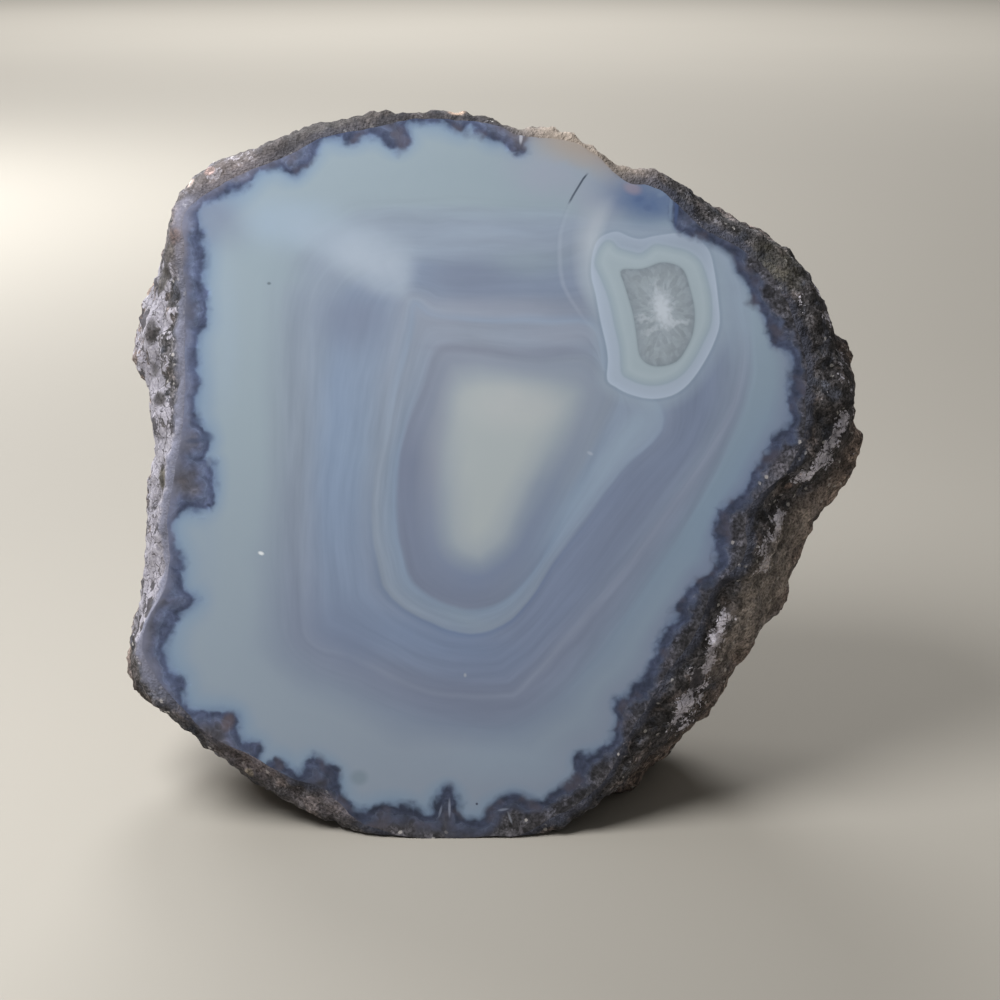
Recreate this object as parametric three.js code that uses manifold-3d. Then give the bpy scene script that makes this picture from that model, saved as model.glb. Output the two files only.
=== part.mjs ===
// A polished agate nodule: the end of a rough chalcedony stone, sawn flat and polished on the sawn face.
// It is one piece of stone. Millimetres, +Z up. The face looks towards -Y and slightly up.
// The stone stands on a small flat ground under it, and leans back from the face.
import * as THREE from "three";
import { ImprovedNoise } from "three/addons/math/ImprovedNoise.js";
import { mergeVertices } from "three/addons/utils/BufferGeometryUtils.js";
import Module from "manifold-3d";

const wasm = await Module();
wasm.setup();

// Driving sizes

const LEAN_DEG = 16; // how far the polished face leans back from upright
const DEPTH = 40; // from the polished face to the farthest point of the back
const WAIST_DEPTH = 11; // how far behind the face the stone is widest
const FOOT_HEIGHT = -40.9; // where the ground flat meets the face, up the face from its centre line
const BACK_ROUNDNESS = 2.4; // exponent of the back's profile: 2 is a sphere, more is boxier
const BACK_DRIFT = { across: -2.5, up: 0.5 }; // how far the middle of the back lies off the face's middle
const FACE_CENTRE = { across: 0, up: 3 }; // the point from which angles round the rim are measured

// The face's outer edge, clockwise from the top, as [across, up].
// The lowest stretch runs below the ground flat, which cuts it off.
const FACE_EDGE = [
  [-8.4, 46.8], [-3.6, 46.3], [0, 45.5], [2.8, 44], [6, 43.9], [10.2, 42.8], [13, 41], [15.6, 39.4],
  [18, 39.6], [20.6, 38.9], [23.4, 36.8], [25.8, 34.8], [33, 31.2], [35.4, 28.8], [38.4, 23.4],
  [39.8, 19.8], [42, 13.2], [42.2, 11.4], [39.8, 6], [37.4, 3.4], [34.8, 1.2], [33.4, -1.8],
  [32.6, -5.4], [31.2, -9], [27.4, -15], [23.4, -22.2], [21, -25.8], [16.2, -31.8], [14.2, -34.8],
  [9, -38.9], [5.8, -40.3], [2.4, -42], [-3.6, -43.4], [-9.6, -43.2], [-15, -42], [-19.2, -40.6],
  [-24, -38.4], [-27.6, -36.7], [-30, -34.6], [-36.6, -30.2], [-39, -27.6], [-42.6, -22.6],
  [-43.8, -19.8], [-44.4, -17.4], [-43.4, -14.6], [-41.8, -12], [-40.8, -9], [-41, -3],
  [-40.2, 2.4], [-39, 8.4], [-38.3, 15.6], [-38.3, 24], [-38.6, 26.4], [-39.4, 28.2], [-38.9, 32.2],
  [-39.4, 34.2], [-38.9, 35.6], [-37.2, 37.2], [-30, 41.4], [-26.4, 42.8], [-22.8, 44.8], [-13.2, 46.6],
];

// The rim's section at angles round the face, anticlockwise from the right, in degrees and millimetres.
// chipped: width of the broken band outside the polish; drop: how far that band falls behind the face;
// flare: how much wider the stone is at its waist than at the face's edge.
const RIM = [
  { angle: -172, chipped: 0.8, drop: 0.3, flare: 2.2 },
  { angle: -162, chipped: 0.9, drop: 0.3, flare: 3.2 },
  { angle: -155, chipped: 1.0, drop: 0.4, flare: 2.4 },
  { angle: -141, chipped: 2.0, drop: 0.7, flare: 2.0 },
  { angle: -130, chipped: 3.0, drop: 1.0, flare: 1.6 },
  { angle: -120, chipped: 4.2, drop: 1.2, flare: 0.2 },
  { angle: -111, chipped: 2.0, drop: 0.8, flare: -1.8 },
  { angle: -87, chipped: 1.2, drop: 0.5, flare: -2.2 },
  { angle: -73, chipped: 1.6, drop: 0.6, flare: 0.4 },
  { angle: -62, chipped: 2.8, drop: 1.0, flare: 4.6 },
  { angle: -51, chipped: 3.5, drop: 1.4, flare: 5.6 },
  { angle: -39, chipped: 2.6, drop: 1.2, flare: 5.4 },
  { angle: -27, chipped: 3.6, drop: 1.4, flare: 5.6 },
  { angle: -18, chipped: 2.2, drop: 1.0, flare: 4.6 },
  { angle: -9, chipped: 3.6, drop: 1.4, flare: 6.0 },
  { angle: -1, chipped: 2.4, drop: 1.2, flare: 6.2 },
  { angle: 6, chipped: 4.2, drop: 1.4, flare: 4.6 },
  { angle: 12, chipped: 5.4, drop: 1.6, flare: 3.4 },
  { angle: 22, chipped: 3.6, drop: 1.2, flare: 2.2 },
  { angle: 36, chipped: 3.2, drop: 1.0, flare: 2.4 },
  { angle: 56, chipped: 2.4, drop: 0.8, flare: 2.2 },
  { angle: 65, chipped: 1.6, drop: 0.5, flare: 2.0 },
  { angle: 73, chipped: 0.4, drop: 0.2, flare: 0.8 },
  { angle: 82, chipped: 0.4, drop: 0.2, flare: 0.8 },
  { angle: 101, chipped: 1.0, drop: 0.3, flare: 1.6 },
  { angle: 113, chipped: 1.8, drop: 0.6, flare: 1.8 },
  { angle: 123, chipped: 1.8, drop: 0.6, flare: 1.4 },
  { angle: 141, chipped: 1.4, drop: 0.5, flare: 1.6 },
  { angle: 147, chipped: 1.4, drop: 0.5, flare: 2.6 },
  { angle: 152, chipped: 0.4, drop: 0.3, flare: 5.8 },
  { angle: 158, chipped: 0.3, drop: 0.2, flare: 6.6 },
  { angle: 167, chipped: 0.5, drop: 0.2, flare: 5.8 },
  { angle: 177, chipped: 0.7, drop: 0.3, flare: 2.2 },
];

// The rough outside: each layer of relief has a size across and a height.
const LUMPS = { across: 23, height: 4.4 };
const KNOBS = { across: 9, height: 2.4 };
const RIDGES = { across: 13, height: 1.6 };
const PITS = { across: 7, height: 1.9 };
const GRAVEL = { across: 4.4, height: 1.1 };

// How much of the relief shows: at the face's edge, over the rest, and across a 1 mm chipped band.
const RIM_PUSH = 0.2;
const BACK_PUSH = 0.85;
const CHIP_PUSH = 0.1;
const LEAST_DROP = 0.4; // the share of its drop that the chipped band always keeps

const COLUMNS = 128; // points round the rim
const CHIP_RINGS = 2; // rings over the chipped band
const FLARE_RINGS = 6; // rings from the face's edge to the waist
const BACK_RINGS = 26; // rings from the waist to the middle of the back
const END_CROWDING = 0.5; // how much closer the back's first and last rings lie than its middle ones
const CALM_RADIUS = 9; // the fine relief dies out over this distance from the middle of the back
const WAIST_BLEND = 4; // columns each side over which the face's outline is evened out at the waist
const BACK_BLEND = 14; // the same towards the back

const noise = new ImprovedNoise();

// Noise of one size: about -0.7 to 0.7, and nearly the same over a few tenths of that size.
function noiseAt(point, across, seed) {
  return noise.noise(point.x / across + seed, point.y / across - seed, point.z / across + 2 * seed);
}

// A repeatable number from 0 to 1 for one cell of a grid and one of its three directions.
function scatter(x, y, z, direction) {
  const mixed = Math.sin(x * 127.1 + y * 311.7 + z * 74.7 + direction * 53.3) * 43758.5453;
  return mixed - Math.floor(mixed);
}

// Pits: 1 in the middle of a pit and 0 away from it, with one pit at a random place in each cell.
function pitAt(point, across) {
  const cell = new THREE.Vector3(point.x, point.y, point.z).divideScalar(across);
  const corner = cell.clone().floor();
  let nearest = Infinity;
  for (let i = -1; i <= 1; i++) {
    for (let j = -1; j <= 1; j++) {
      for (let k = -1; k <= 1; k++) {
        const x = corner.x + i;
        const y = corner.y + j;
        const z = corner.z + k;
        const pit = new THREE.Vector3(
          x + scatter(x, y, z, 0),
          y + scatter(x, y, z, 1),
          z + scatter(x, y, z, 2),
        );
        nearest = Math.min(nearest, pit.distanceTo(cell));
      }
    }
  }
  return 1 - THREE.MathUtils.smoothstep(nearest, 0.1, 0.65);
}

// How far the rough outside stands out at a point, in or out of the smooth form.
// radius is the point's distance from the middle of its ring.
function relief(point, radius) {
  const lump = LUMPS.height * noiseAt(point, LUMPS.across, 3.7);
  const knob = KNOBS.height * noiseAt(point, KNOBS.across, 11.3);
  const ridge = RIDGES.height * (0.35 - Math.abs(noiseAt(point, RIDGES.across, 23.9)) * 2);
  const pit = -PITS.height * pitAt(point, PITS.across);
  const gravel = GRAVEL.height * noiseAt(point, GRAVEL.across, 47.3);
  return lump + Math.min(1, radius / CALM_RADIUS) * (knob + ridge + pit + gravel);
}

// One value of the rim's section at an angle, run smoothly between the angles of the list.
function rimValue(angleDeg, name) {
  const last = RIM.length - 1;
  let next = RIM.findIndex((row) => row.angle > angleDeg);
  if (next < 0) next = 0;
  const before = RIM[next === 0 ? last : next - 1];
  const after = RIM[next];
  const span = (after.angle - before.angle + 360) % 360;
  const along = ((angleDeg - before.angle + 360) % 360) / span;
  return THREE.MathUtils.lerp(before[name], after[name], THREE.MathUtils.smoothstep(along, 0, 1));
}

// The columns of the mesh: one for each point of the face's edge, with the rim's section there.
function rimColumns() {
  const points = FACE_EDGE.map(([across, up]) => new THREE.Vector3(across, 0, up));
  const edge = new THREE.CatmullRomCurve3(points, true, "centripetal");
  const columns = [];
  for (const point of edge.getSpacedPoints(COLUMNS).slice(0, COLUMNS)) {
    const across = point.x - FACE_CENTRE.across;
    const up = point.z - FACE_CENTRE.up;
    const angle = Math.atan2(up, across);
    const angleDeg = THREE.MathUtils.radToDeg(angle);
    columns.push({
      angle,
      radius: Math.hypot(across, up),
      chipped: rimValue(angleDeg, "chipped"),
      drop: rimValue(angleDeg, "drop"),
      flare: rimValue(angleDeg, "flare"),
    });
  }
  columns.forEach((column, index) => {
    column.waist = evenedWaist(columns, index, WAIST_BLEND);
    column.back = evenedWaist(columns, index, BACK_BLEND);
  });
  return columns;
}

// The stone's radius at its waist, evened out over some columns each side, the nearest counting most.
function evenedWaist(columns, index, reach) {
  let sum = 0;
  let weights = 0;
  for (let step = -reach; step <= reach; step++) {
    const column = columns[(index + step + columns.length) % columns.length];
    const weight = 1 - Math.abs(step) / (reach + 1);
    sum += weight * (column.radius + column.flare);
    weights += weight;
  }
  return sum / weights;
}

// The section of the stone down one column, from the polish to just short of the back's middle.
// Each station has a radius, a depth behind the face, the way its relief pushes, and how much.
function section(column) {
  const stations = [];
  for (let ring = 0; ring <= CHIP_RINGS; ring++) {
    const share = ring / CHIP_RINGS;
    stations.push({
      radius: column.radius - column.chipped * (1 - share),
      depth: column.drop * share ** 1.4,
      outwards: RIM_PUSH * share,
      backwards: ring === 0 ? 0 : -CHIP_PUSH * column.chipped,
    });
  }
  for (let ring = 1; ring <= FLARE_RINGS; ring++) {
    const share = ring / FLARE_RINGS;
    stations.push({
      radius: THREE.MathUtils.lerp(column.radius, column.waist, Math.sin((share * Math.PI) / 2)),
      depth: THREE.MathUtils.lerp(column.drop, WAIST_DEPTH, share),
      outwards: THREE.MathUtils.lerp(RIM_PUSH, BACK_PUSH, share),
      backwards: 0,
    });
  }
  for (let ring = 1; ring < BACK_RINGS; ring++) {
    const share = ring / BACK_RINGS;
    const turn = (Math.PI / 2) * (share - (END_CROWDING * Math.sin(2 * Math.PI * share)) / (2 * Math.PI));
    const radius = THREE.MathUtils.lerp(column.waist, column.back, Math.min(1, 2 * share));
    stations.push({
      radius: radius * Math.cos(turn) ** (2 / BACK_ROUNDNESS),
      depth: WAIST_DEPTH + (DEPTH - WAIST_DEPTH) * Math.sin(turn) ** (2 / BACK_ROUNDNESS),
      outwards: BACK_PUSH * Math.cos(turn),
      backwards: BACK_PUSH * Math.sin(turn),
    });
  }
  return stations;
}

// A station of a column as a point: X across, Y behind the face, Z up the face.
// No relief stands proud of the saw cut, so the depth keeps a share of its smooth value.
function stationPoint(column, station) {
  const drift = (station.depth / DEPTH) ** 2;
  const point = new THREE.Vector3(
    FACE_CENTRE.across + BACK_DRIFT.across * drift + station.radius * Math.cos(column.angle),
    station.depth,
    FACE_CENTRE.up + BACK_DRIFT.up * drift + station.radius * Math.sin(column.angle),
  );
  const height = relief(point, station.radius);
  point.x += station.outwards * height * Math.cos(column.angle);
  point.z += station.outwards * height * Math.sin(column.angle);
  point.y = Math.max(point.y + station.backwards * height, LEAST_DROP * station.depth);
  return point;
}

// The whole stone before its foot is ground flat: rings of columns, closed by the face and the back.
function roughStone() {
  const columns = rimColumns();
  const sections = columns.map(section);
  const ringCount = sections[0].length;
  const points = [new THREE.Vector3(FACE_CENTRE.across, 0, FACE_CENTRE.up)];
  for (let ring = 0; ring < ringCount; ring++) {
    columns.forEach((column, index) => points.push(stationPoint(column, sections[index][ring])));
  }
  const middle = new THREE.Vector3(
    FACE_CENTRE.across + BACK_DRIFT.across,
    DEPTH,
    FACE_CENTRE.up + BACK_DRIFT.up,
  );
  middle.y += BACK_PUSH * relief(middle, 0);
  points.push(middle);

  const at = (ring, index) => 1 + ring * COLUMNS + (index % COLUMNS);
  const back = points.length - 1;
  const faces = [];
  for (let index = 0; index < COLUMNS; index++) {
    faces.push(0, at(0, index + 1), at(0, index));
    for (let ring = 0; ring < ringCount - 1; ring++) {
      faces.push(at(ring, index), at(ring + 1, index + 1), at(ring + 1, index));
      faces.push(at(ring, index), at(ring, index + 1), at(ring + 1, index + 1));
    }
    faces.push(back, at(ringCount - 1, index), at(ringCount - 1, index + 1));
  }
  const geometry = new THREE.BufferGeometry().setFromPoints(points);
  geometry.setIndex(faces);
  return geometry;
}

// A closed geometry as a solid that can be cut.
function solid(geometry) {
  const bare = geometry.clone();
  bare.deleteAttribute("normal");
  bare.deleteAttribute("uv");
  const merged = mergeVertices(bare);
  return new wasm.Manifold(
    new wasm.Mesh({
      numProp: 3,
      vertProperties: merged.attributes.position.array,
      triVerts: new Uint32Array(merged.index.array),
    }),
  );
}

// A cut solid back as a geometry.
function geometryOf(cut) {
  const mesh = cut.getMesh();
  const geometry = new THREE.BufferGeometry();
  geometry.setAttribute("position", new THREE.BufferAttribute(mesh.vertProperties, 3));
  geometry.setIndex(new THREE.BufferAttribute(mesh.triVerts, 1));
  return geometry;
}

// The stone leant back, its foot ground flat, and the middle of its footprint box put at the origin.
function agateNodule() {
  const lean = THREE.MathUtils.degToRad(LEAN_DEG);
  const stone = roughStone();
  stone.rotateX(-lean);
  stone.translate(0, 0, -FOOT_HEIGHT * Math.cos(lean));
  const groundAway = new THREE.BoxGeometry(3 * DEPTH, 3 * DEPTH, DEPTH);
  groundAway.translate(0, 0, -DEPTH / 2);
  const geometry = geometryOf(solid(stone).subtract(solid(groundAway)));
  geometry.computeBoundingBox();
  const middle = geometry.boundingBox.getCenter(new THREE.Vector3());
  geometry.translate(-middle.x, -middle.y, 0);
  geometry.computeVertexNormals();
  const material = new THREE.MeshStandardMaterial({ color: "#8795a3", roughness: 0.45, metalness: 0 });
  const mesh = new THREE.Mesh(geometry, material);
  mesh.name = "agate_nodule";
  return mesh;
}

const part = new THREE.Group();
part.add(agateNodule());
export default part;
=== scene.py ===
# %% [markdown]
# # A polished agate geode
# The stone is the end of an agate nodule. It was sawn through once, the cut was polished until the
# bands showed, and a small flat was ground underneath so that it stands with its face leaning back.
# One mesh is made for it here. Its front is truly flat, because a lap wheel made it so, and all the
# rest is natural rind that nobody touched.

import math

import bpy
import numpy as np
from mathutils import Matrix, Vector, noise
from mathutils.bvhtree import BVHTree


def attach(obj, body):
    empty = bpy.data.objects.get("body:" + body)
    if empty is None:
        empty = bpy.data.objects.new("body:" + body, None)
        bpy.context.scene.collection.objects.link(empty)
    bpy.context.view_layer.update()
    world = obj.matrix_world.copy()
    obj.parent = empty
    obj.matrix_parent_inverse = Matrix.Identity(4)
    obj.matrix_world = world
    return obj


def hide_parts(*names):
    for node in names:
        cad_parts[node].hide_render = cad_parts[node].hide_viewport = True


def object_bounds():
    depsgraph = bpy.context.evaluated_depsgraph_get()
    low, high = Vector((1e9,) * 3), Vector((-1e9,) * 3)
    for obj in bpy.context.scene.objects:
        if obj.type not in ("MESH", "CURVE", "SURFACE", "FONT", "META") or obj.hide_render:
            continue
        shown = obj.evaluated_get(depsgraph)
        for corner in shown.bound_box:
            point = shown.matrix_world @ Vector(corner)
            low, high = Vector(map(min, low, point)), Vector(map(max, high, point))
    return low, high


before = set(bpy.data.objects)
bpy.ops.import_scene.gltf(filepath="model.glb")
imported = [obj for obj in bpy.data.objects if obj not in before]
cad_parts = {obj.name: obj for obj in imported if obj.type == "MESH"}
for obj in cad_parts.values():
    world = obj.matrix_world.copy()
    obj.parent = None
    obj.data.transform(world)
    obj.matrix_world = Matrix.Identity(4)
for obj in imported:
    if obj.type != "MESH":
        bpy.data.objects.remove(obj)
cad_low, cad_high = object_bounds()

MM = 0.001

packed_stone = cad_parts["agate_nodule"]
packed_points = np.array([corner.co for corner in packed_stone.data.vertices]) / MM
packed_triangles = np.array([tuple(side.vertices) for side in packed_stone.data.polygons])
packed_size = [round(v / MM, 1) for v in cad_high - cad_low]
print("packed stone:", len(packed_triangles), "triangles,", packed_size, "mm")

# %% [markdown]
# ## The sawn face, measured
# A saw leaves one plane, so the face is the set of triangles that share the normal with the most area.
# Everything on the face is then placed in the face's own millimetres: across, up, and depth into the
# stone. Marks drawn in these stay on the polish whichever way the stone leans.

# %% Find the face's plane
FRONT_LEAST = 0.9

first, second, third = (packed_points[packed_triangles[:, k]] for k in range(3))
doubled = np.cross(second - first, third - first)
areas = np.linalg.norm(doubled, axis=1) / 2
normals = doubled / (2 * areas[:, None])

kinds, kind_of = np.unique(np.round(normals, 3), axis=0, return_inverse=True)
shares = np.bincount(kind_of.ravel(), weights=areas)
facing_front = kinds[:, 1] < -FRONT_LEAST
sawn_kind = np.argmax(np.where(facing_front, shares, 0))
is_sawn = kind_of.ravel() == sawn_kind

face_normal = (normals[is_sawn] * areas[is_sawn, None]).sum(axis=0)
face_normal /= np.linalg.norm(face_normal)
face_across = np.array([1.0, 0.0, 0.0])
face_up = np.cross(face_normal, face_across)
lean = math.degrees(math.asin(face_normal[2]))
print(f"sawn face: {areas[is_sawn].sum() / 100:.1f} square cm, leaning back {lean:.1f} degrees")

# %% Place the face's own zero
POLISH_LEFT = -43.5
POLISH_TOP = 45.8

sawn_points = packed_points[np.unique(packed_triangles[is_sawn])]
face_level = (sawn_points @ face_normal).mean()
face_zero = (
    face_normal * face_level
    + face_across * ((sawn_points @ face_across).min() - POLISH_LEFT)
    + face_up * ((sawn_points @ face_up).max() - POLISH_TOP)
)


def on_face(points):
    """Across, up and depth in millimetres, for points in the row frame."""
    away = points - face_zero
    return np.stack([away @ face_across, away @ face_up, -(away @ face_normal)], axis=-1)


def in_row(face_points):
    """The same the other way: face millimetres to the row frame."""
    across, up, depth = np.moveaxis(face_points, -1, 0)
    return (
        face_zero
        + across[..., None] * face_across
        + up[..., None] * face_up
        - depth[..., None] * face_normal
    )


print("face zero:", face_zero.round(2), "mm")

# %% [markdown]
# ## The camera
# The camera looks almost square onto the polish. It is set first, since the marks that were read off
# the picture are only right from where it was taken. A 66 mm lens at 220 mm sees 120 mm across the face.

# %% Set up the camera
CAMERA_HEIGHT = 18
CAMERA_DISTANCE = 220
SENSOR_WIDTH = 36
VIEW_WIDTH = 120

camera_back = np.array([0, -math.cos(math.radians(CAMERA_HEIGHT)), math.sin(math.radians(CAMERA_HEIGHT))])
camera_place = face_zero + camera_back * CAMERA_DISTANCE

camera = bpy.data.objects.new("camera", bpy.data.cameras.new("camera"))
camera.data.sensor_width = SENSOR_WIDTH
camera.data.lens = SENSOR_WIDTH * CAMERA_DISTANCE / VIEW_WIDTH
camera.data.clip_start = 0.01
camera.location = Vector(camera_place) * MM
camera.rotation_euler = Vector(-camera_back).to_track_quat("-Z", "Y").to_euler()
bpy.context.scene.collection.objects.link(camera)
bpy.context.scene.camera = camera
print(f"camera: {camera.data.lens:.0f} mm lens, {CAMERA_DISTANCE} mm from the face")


def as_seen(points):
    """Where the camera sees points, as across and up on the face's plane."""
    ray = points - camera_place
    reach = ((face_zero - camera_place) @ face_normal) / (ray @ face_normal)
    return on_face(camera_place + ray * reach[..., None])[..., :2]


# %% [markdown]
# ## The shape: a skin of columns and rings
# A stone could be sculpted, or a sphere could be pushed about with displacement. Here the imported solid
# already has the true form, so rays are sent out from a point deep inside it and the skin is laid where
# they come out. A column runs from the edge of the polish over the rind to the middle of the back, and
# rings cross the columns at even steps. Even steps matter: grit looks the same size all over.

# %% Trace the edge of the polish
FACE_MIDDLE = np.array([0.0, 3.0])
COLUMNS = 600
EDGE_SOFTNESS = 0.5

rounded = np.round(packed_points, 3)
merged, merged_of = np.unique(rounded, axis=0, return_inverse=True)
sawn_triangles = merged_of.ravel()[packed_triangles[is_sawn]]
sides = np.concatenate([sawn_triangles[:, [0, 1]], sawn_triangles[:, [1, 2]], sawn_triangles[:, [2, 0]]])
_, side_of, uses = np.unique(np.sort(sides, axis=1), axis=0, return_inverse=True, return_counts=True)
border = sides[uses[side_of.ravel()] == 1]
loop = on_face(merged[np.unique(border)])[:, :2] - FACE_MIDDLE
loop_turns = np.arctan2(loop[:, 1], loop[:, 0])
loop_radii = np.hypot(loop[:, 0], loop[:, 1])
order = np.argsort(loop_turns)

turns = np.linspace(-math.pi, math.pi, COLUMNS, endpoint=False)
edge_radii = np.interp(turns, loop_turns[order], loop_radii[order], period=2 * math.pi)
mean_radius = edge_radii.mean()


def smoothed_round(values, reach, circumference):
    """Values round a closed ring, evened out over a reach in the circumference's unit."""
    waves = np.fft.rfft(values, axis=-1)
    pace = np.arange(waves.shape[-1]) / circumference
    return np.fft.irfft(waves * np.exp(-2 * (math.pi * reach * pace) ** 2), values.shape[-1], axis=-1)


edge_radii = smoothed_round(edge_radii, EDGE_SOFTNESS, 2 * math.pi * mean_radius)
print(f"polish: {len(loop)} packed corners, radius {edge_radii.min():.1f} to {edge_radii.max():.1f} mm")

# %% [markdown]
# The saw tears tiny flakes out of a brittle edge, so the outline of the polish is nibbled. Each nibble
# only takes stone away.

# %% Nibble the edge
NIBBLE_SIZES = {2.6: 0.35, 0.9: 0.22}
LEAST_DROP = 0.1


def nibble(turn, radius):
    """How much stone has flaked off the edge of the polish there, in mm."""
    place = Vector((math.cos(turn), math.sin(turn), 0)) * radius
    return sum(
        depth * (0.5 + 0.5 * noise.noise(place / size)) for size, depth in NIBBLE_SIZES.items()
    )


edge_radii -= np.array([nibble(turn, radius) for turn, radius in zip(turns, edge_radii)])
ground_up = -face_zero[2] / face_up[2]
points_down = np.sin(turns) < -LEAST_DROP
ground_radii = (ground_up - FACE_MIDDLE[1]) / np.where(points_down, np.sin(turns), -LEAST_DROP)
edge_radii = np.where(points_down, np.minimum(edge_radii, ground_radii), edge_radii)
print(f"nibbled edge: radius {edge_radii.min():.1f} to {edge_radii.max():.1f} mm")

# %% Send rays out to the rind
HEART_DEPTH = 14.0
FRONT_RAYS = 70
BACK_RAYS = 90

heart = in_row(np.array([*FACE_MIDDLE, HEART_DEPTH]))
packed_tree = BVHTree.FromPolygons(packed_points.tolist(), packed_triangles.tolist())


def column_points(turn, radius):
    """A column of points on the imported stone, from the edge of the polish to the middle of the back."""
    outward = math.cos(turn) * face_across + math.sin(turn) * face_up
    start_tilt = math.atan2(HEART_DEPTH, radius)
    tilts = np.concatenate([
        np.linspace(start_tilt, 0, FRONT_RAYS, endpoint=False)[1:],
        np.linspace(0, -math.pi / 2, BACK_RAYS),
    ])
    points = [in_row(np.array([*FACE_MIDDLE, 0.0])) + radius * outward]
    for tilt in tilts:
        ray = math.cos(tilt) * outward + math.sin(tilt) * face_normal
        points.append(packed_tree.ray_cast(Vector(heart), Vector(ray))[0])
    return np.array(points)


traced = np.array([column_points(turn, radius) for turn, radius in zip(turns, edge_radii)])
print("traced", traced.shape[0], "columns of", traced.shape[1], "points")

# %% Space the rings evenly
FRONT_RUN = 16.0
FRONT_STEP = 0.5
BACK_RINGS = 58

front_rings = round(FRONT_RUN / FRONT_STEP)
ring_count = front_rings + BACK_RINGS


def evenly_spaced(points):
    """A column's points at the rings, by the distance run along the rind."""
    run = np.concatenate([[0], np.cumsum(np.linalg.norm(np.diff(points, axis=0), axis=1))])
    front = np.arange(front_rings + 1) * FRONT_STEP
    back = np.linspace(FRONT_RUN, run[-1], BACK_RINGS + 1)[1:]
    stations = np.concatenate([front, back])
    return np.stack([np.interp(stations, run, points[:, k]) for k in range(3)], axis=1)


skin = np.array([evenly_spaced(points) for points in traced]).transpose(1, 0, 2)
print("skin:", skin.shape[0], "rings of", skin.shape[1], "points")

# %% [markdown]
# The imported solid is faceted, with flats of about 2 mm. A real rind has no such flats, so the skin is
# evened out over 0.9 mm along and across the rings before any grit goes on.

# %% Even out the facets
SMOOTHING = 0.9
MEAN_STEP = 0.8


def spread_along(rings, reach, step):
    """Each ring mixed with the rings next to it; the first and last stay."""
    width = max(1, round(3 * reach / step))
    offsets = np.arange(-width, width + 1)
    weights = np.exp(-0.5 * (offsets * step / reach) ** 2)
    weights /= weights.sum()
    count = len(rings)
    mixed = sum(w * rings[np.clip(np.arange(count) + o, 0, count - 1)] for o, w in zip(offsets, weights))
    mixed[0], mixed[-1] = rings[0], rings[-1]
    return mixed


smooth_skin = spread_along(skin, SMOOTHING, MEAN_STEP)
for ring in range(2, ring_count):
    around = np.linalg.norm(smooth_skin[ring] - np.roll(smooth_skin[ring], 1, axis=0), axis=1).sum()
    smooth_skin[ring] = smoothed_round(smooth_skin[ring].T, SMOOTHING, around).T
smooth_skin[-1] = smooth_skin[-1].mean(axis=0)

along_columns = np.gradient(smooth_skin, axis=0)
along_rings = (np.roll(smooth_skin, -1, axis=1) - np.roll(smooth_skin, 1, axis=1)) / 2
skin_normals = np.cross(along_rings, along_columns)
skin_normals[-1] = -face_normal
skin_normals /= np.maximum(np.linalg.norm(skin_normals, axis=2, keepdims=True), 1e-9)
inward = ((smooth_skin - heart) * skin_normals).sum(axis=2, keepdims=True) < 0
skin_normals = np.where(inward, -skin_normals, skin_normals)
print("evened out: moved at most", round(float(np.abs(smooth_skin - skin).max()), 2), "mm")

# %% [markdown]
# ## Relief on the rind
# The rind is what is left of the lava that the nodule grew in: knobs of a few millimetres, gravel set
# between them, and small knurls on that. The knobs come from smooth noise, and the gravel from cells, because
# grains are round on top with sharp gaps between. What shows from a step away is in the mesh, and only
# the grit finer than half a millimetre is left to the material's bump. The noise gets a fixed seed, since
# it would start from the clock otherwise and every run would break the rind a little differently.

# %% Raise knobs, gravel and knurls
NOISE_SEED = 5
KNOB_SIZE, KNOB_HEIGHT = 5.5, 0.55
GRAVEL_SIZE, GRAVEL_HEIGHT = 1.9, 0.75
KNURL_SIZE, KNURL_HEIGHT = 0.95, 0.3
GAP_WARP = 0.35
GRAIN_MIDDLE = 0.45
FOOT_CALM = 0.8
EDGE_RUN_IN = 1.2


def relief_at(point):
    """Height of the rind's knobs, gravel and small knurls at a point, in mm, above and below zero."""
    spot = Vector(point)
    knobs = noise.noise(spot / KNOB_SIZE)
    warp = noise.noise_vector(spot / GRAVEL_SIZE) * GAP_WARP
    gaps = noise.voronoi(spot / GRAVEL_SIZE + warp)[0]
    grains = GRAIN_MIDDLE - gaps[0]
    knurls = noise.noise(spot / KNURL_SIZE)
    return knobs * KNOB_HEIGHT + grains * GRAVEL_HEIGHT + knurls * KNURL_HEIGHT


noise.seed_set(NOISE_SEED)
relief = np.array([[relief_at(point) for point in ring] for ring in smooth_skin])
relief[-1] = relief[-1].mean()
run_in = np.clip(np.arange(ring_count + 1) * FRONT_STEP / EDGE_RUN_IN, 0, 1)[:, None]
off_foot = np.clip(smooth_skin[..., 2] / FOOT_CALM, 0, 1)
rind = smooth_skin + skin_normals * (relief * run_in * off_foot)[..., None]
print(f"relief: {relief.min():.2f} to {relief.max():.2f} mm")

# %% Keep the rind behind the saw and above the ground
LEAST_DEPTH, FULL_DEPTH = 0.06, 0.4

behind = on_face(rind)[..., 2]
wanted = np.minimum(LEAST_DEPTH * np.arange(ring_count + 1), FULL_DEPTH)[:, None]
rind -= np.maximum(wanted - behind, 0)[..., None] * face_normal
rind = np.clip(rind, np.array(cad_low) / MM, np.array(cad_high) / MM)
rind[0] = skin[0]
print("rind box:", rind.reshape(-1, 3).min(axis=0).round(2), rind.reshape(-1, 3).max(axis=0).round(2))

# %% Lay the polished face inside the edge
EDGE_ZONE = 9.0
EDGE_ZONE_STEP = 0.4
INNER_STEP = 0.45
inner_columns = COLUMNS // 2

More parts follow.
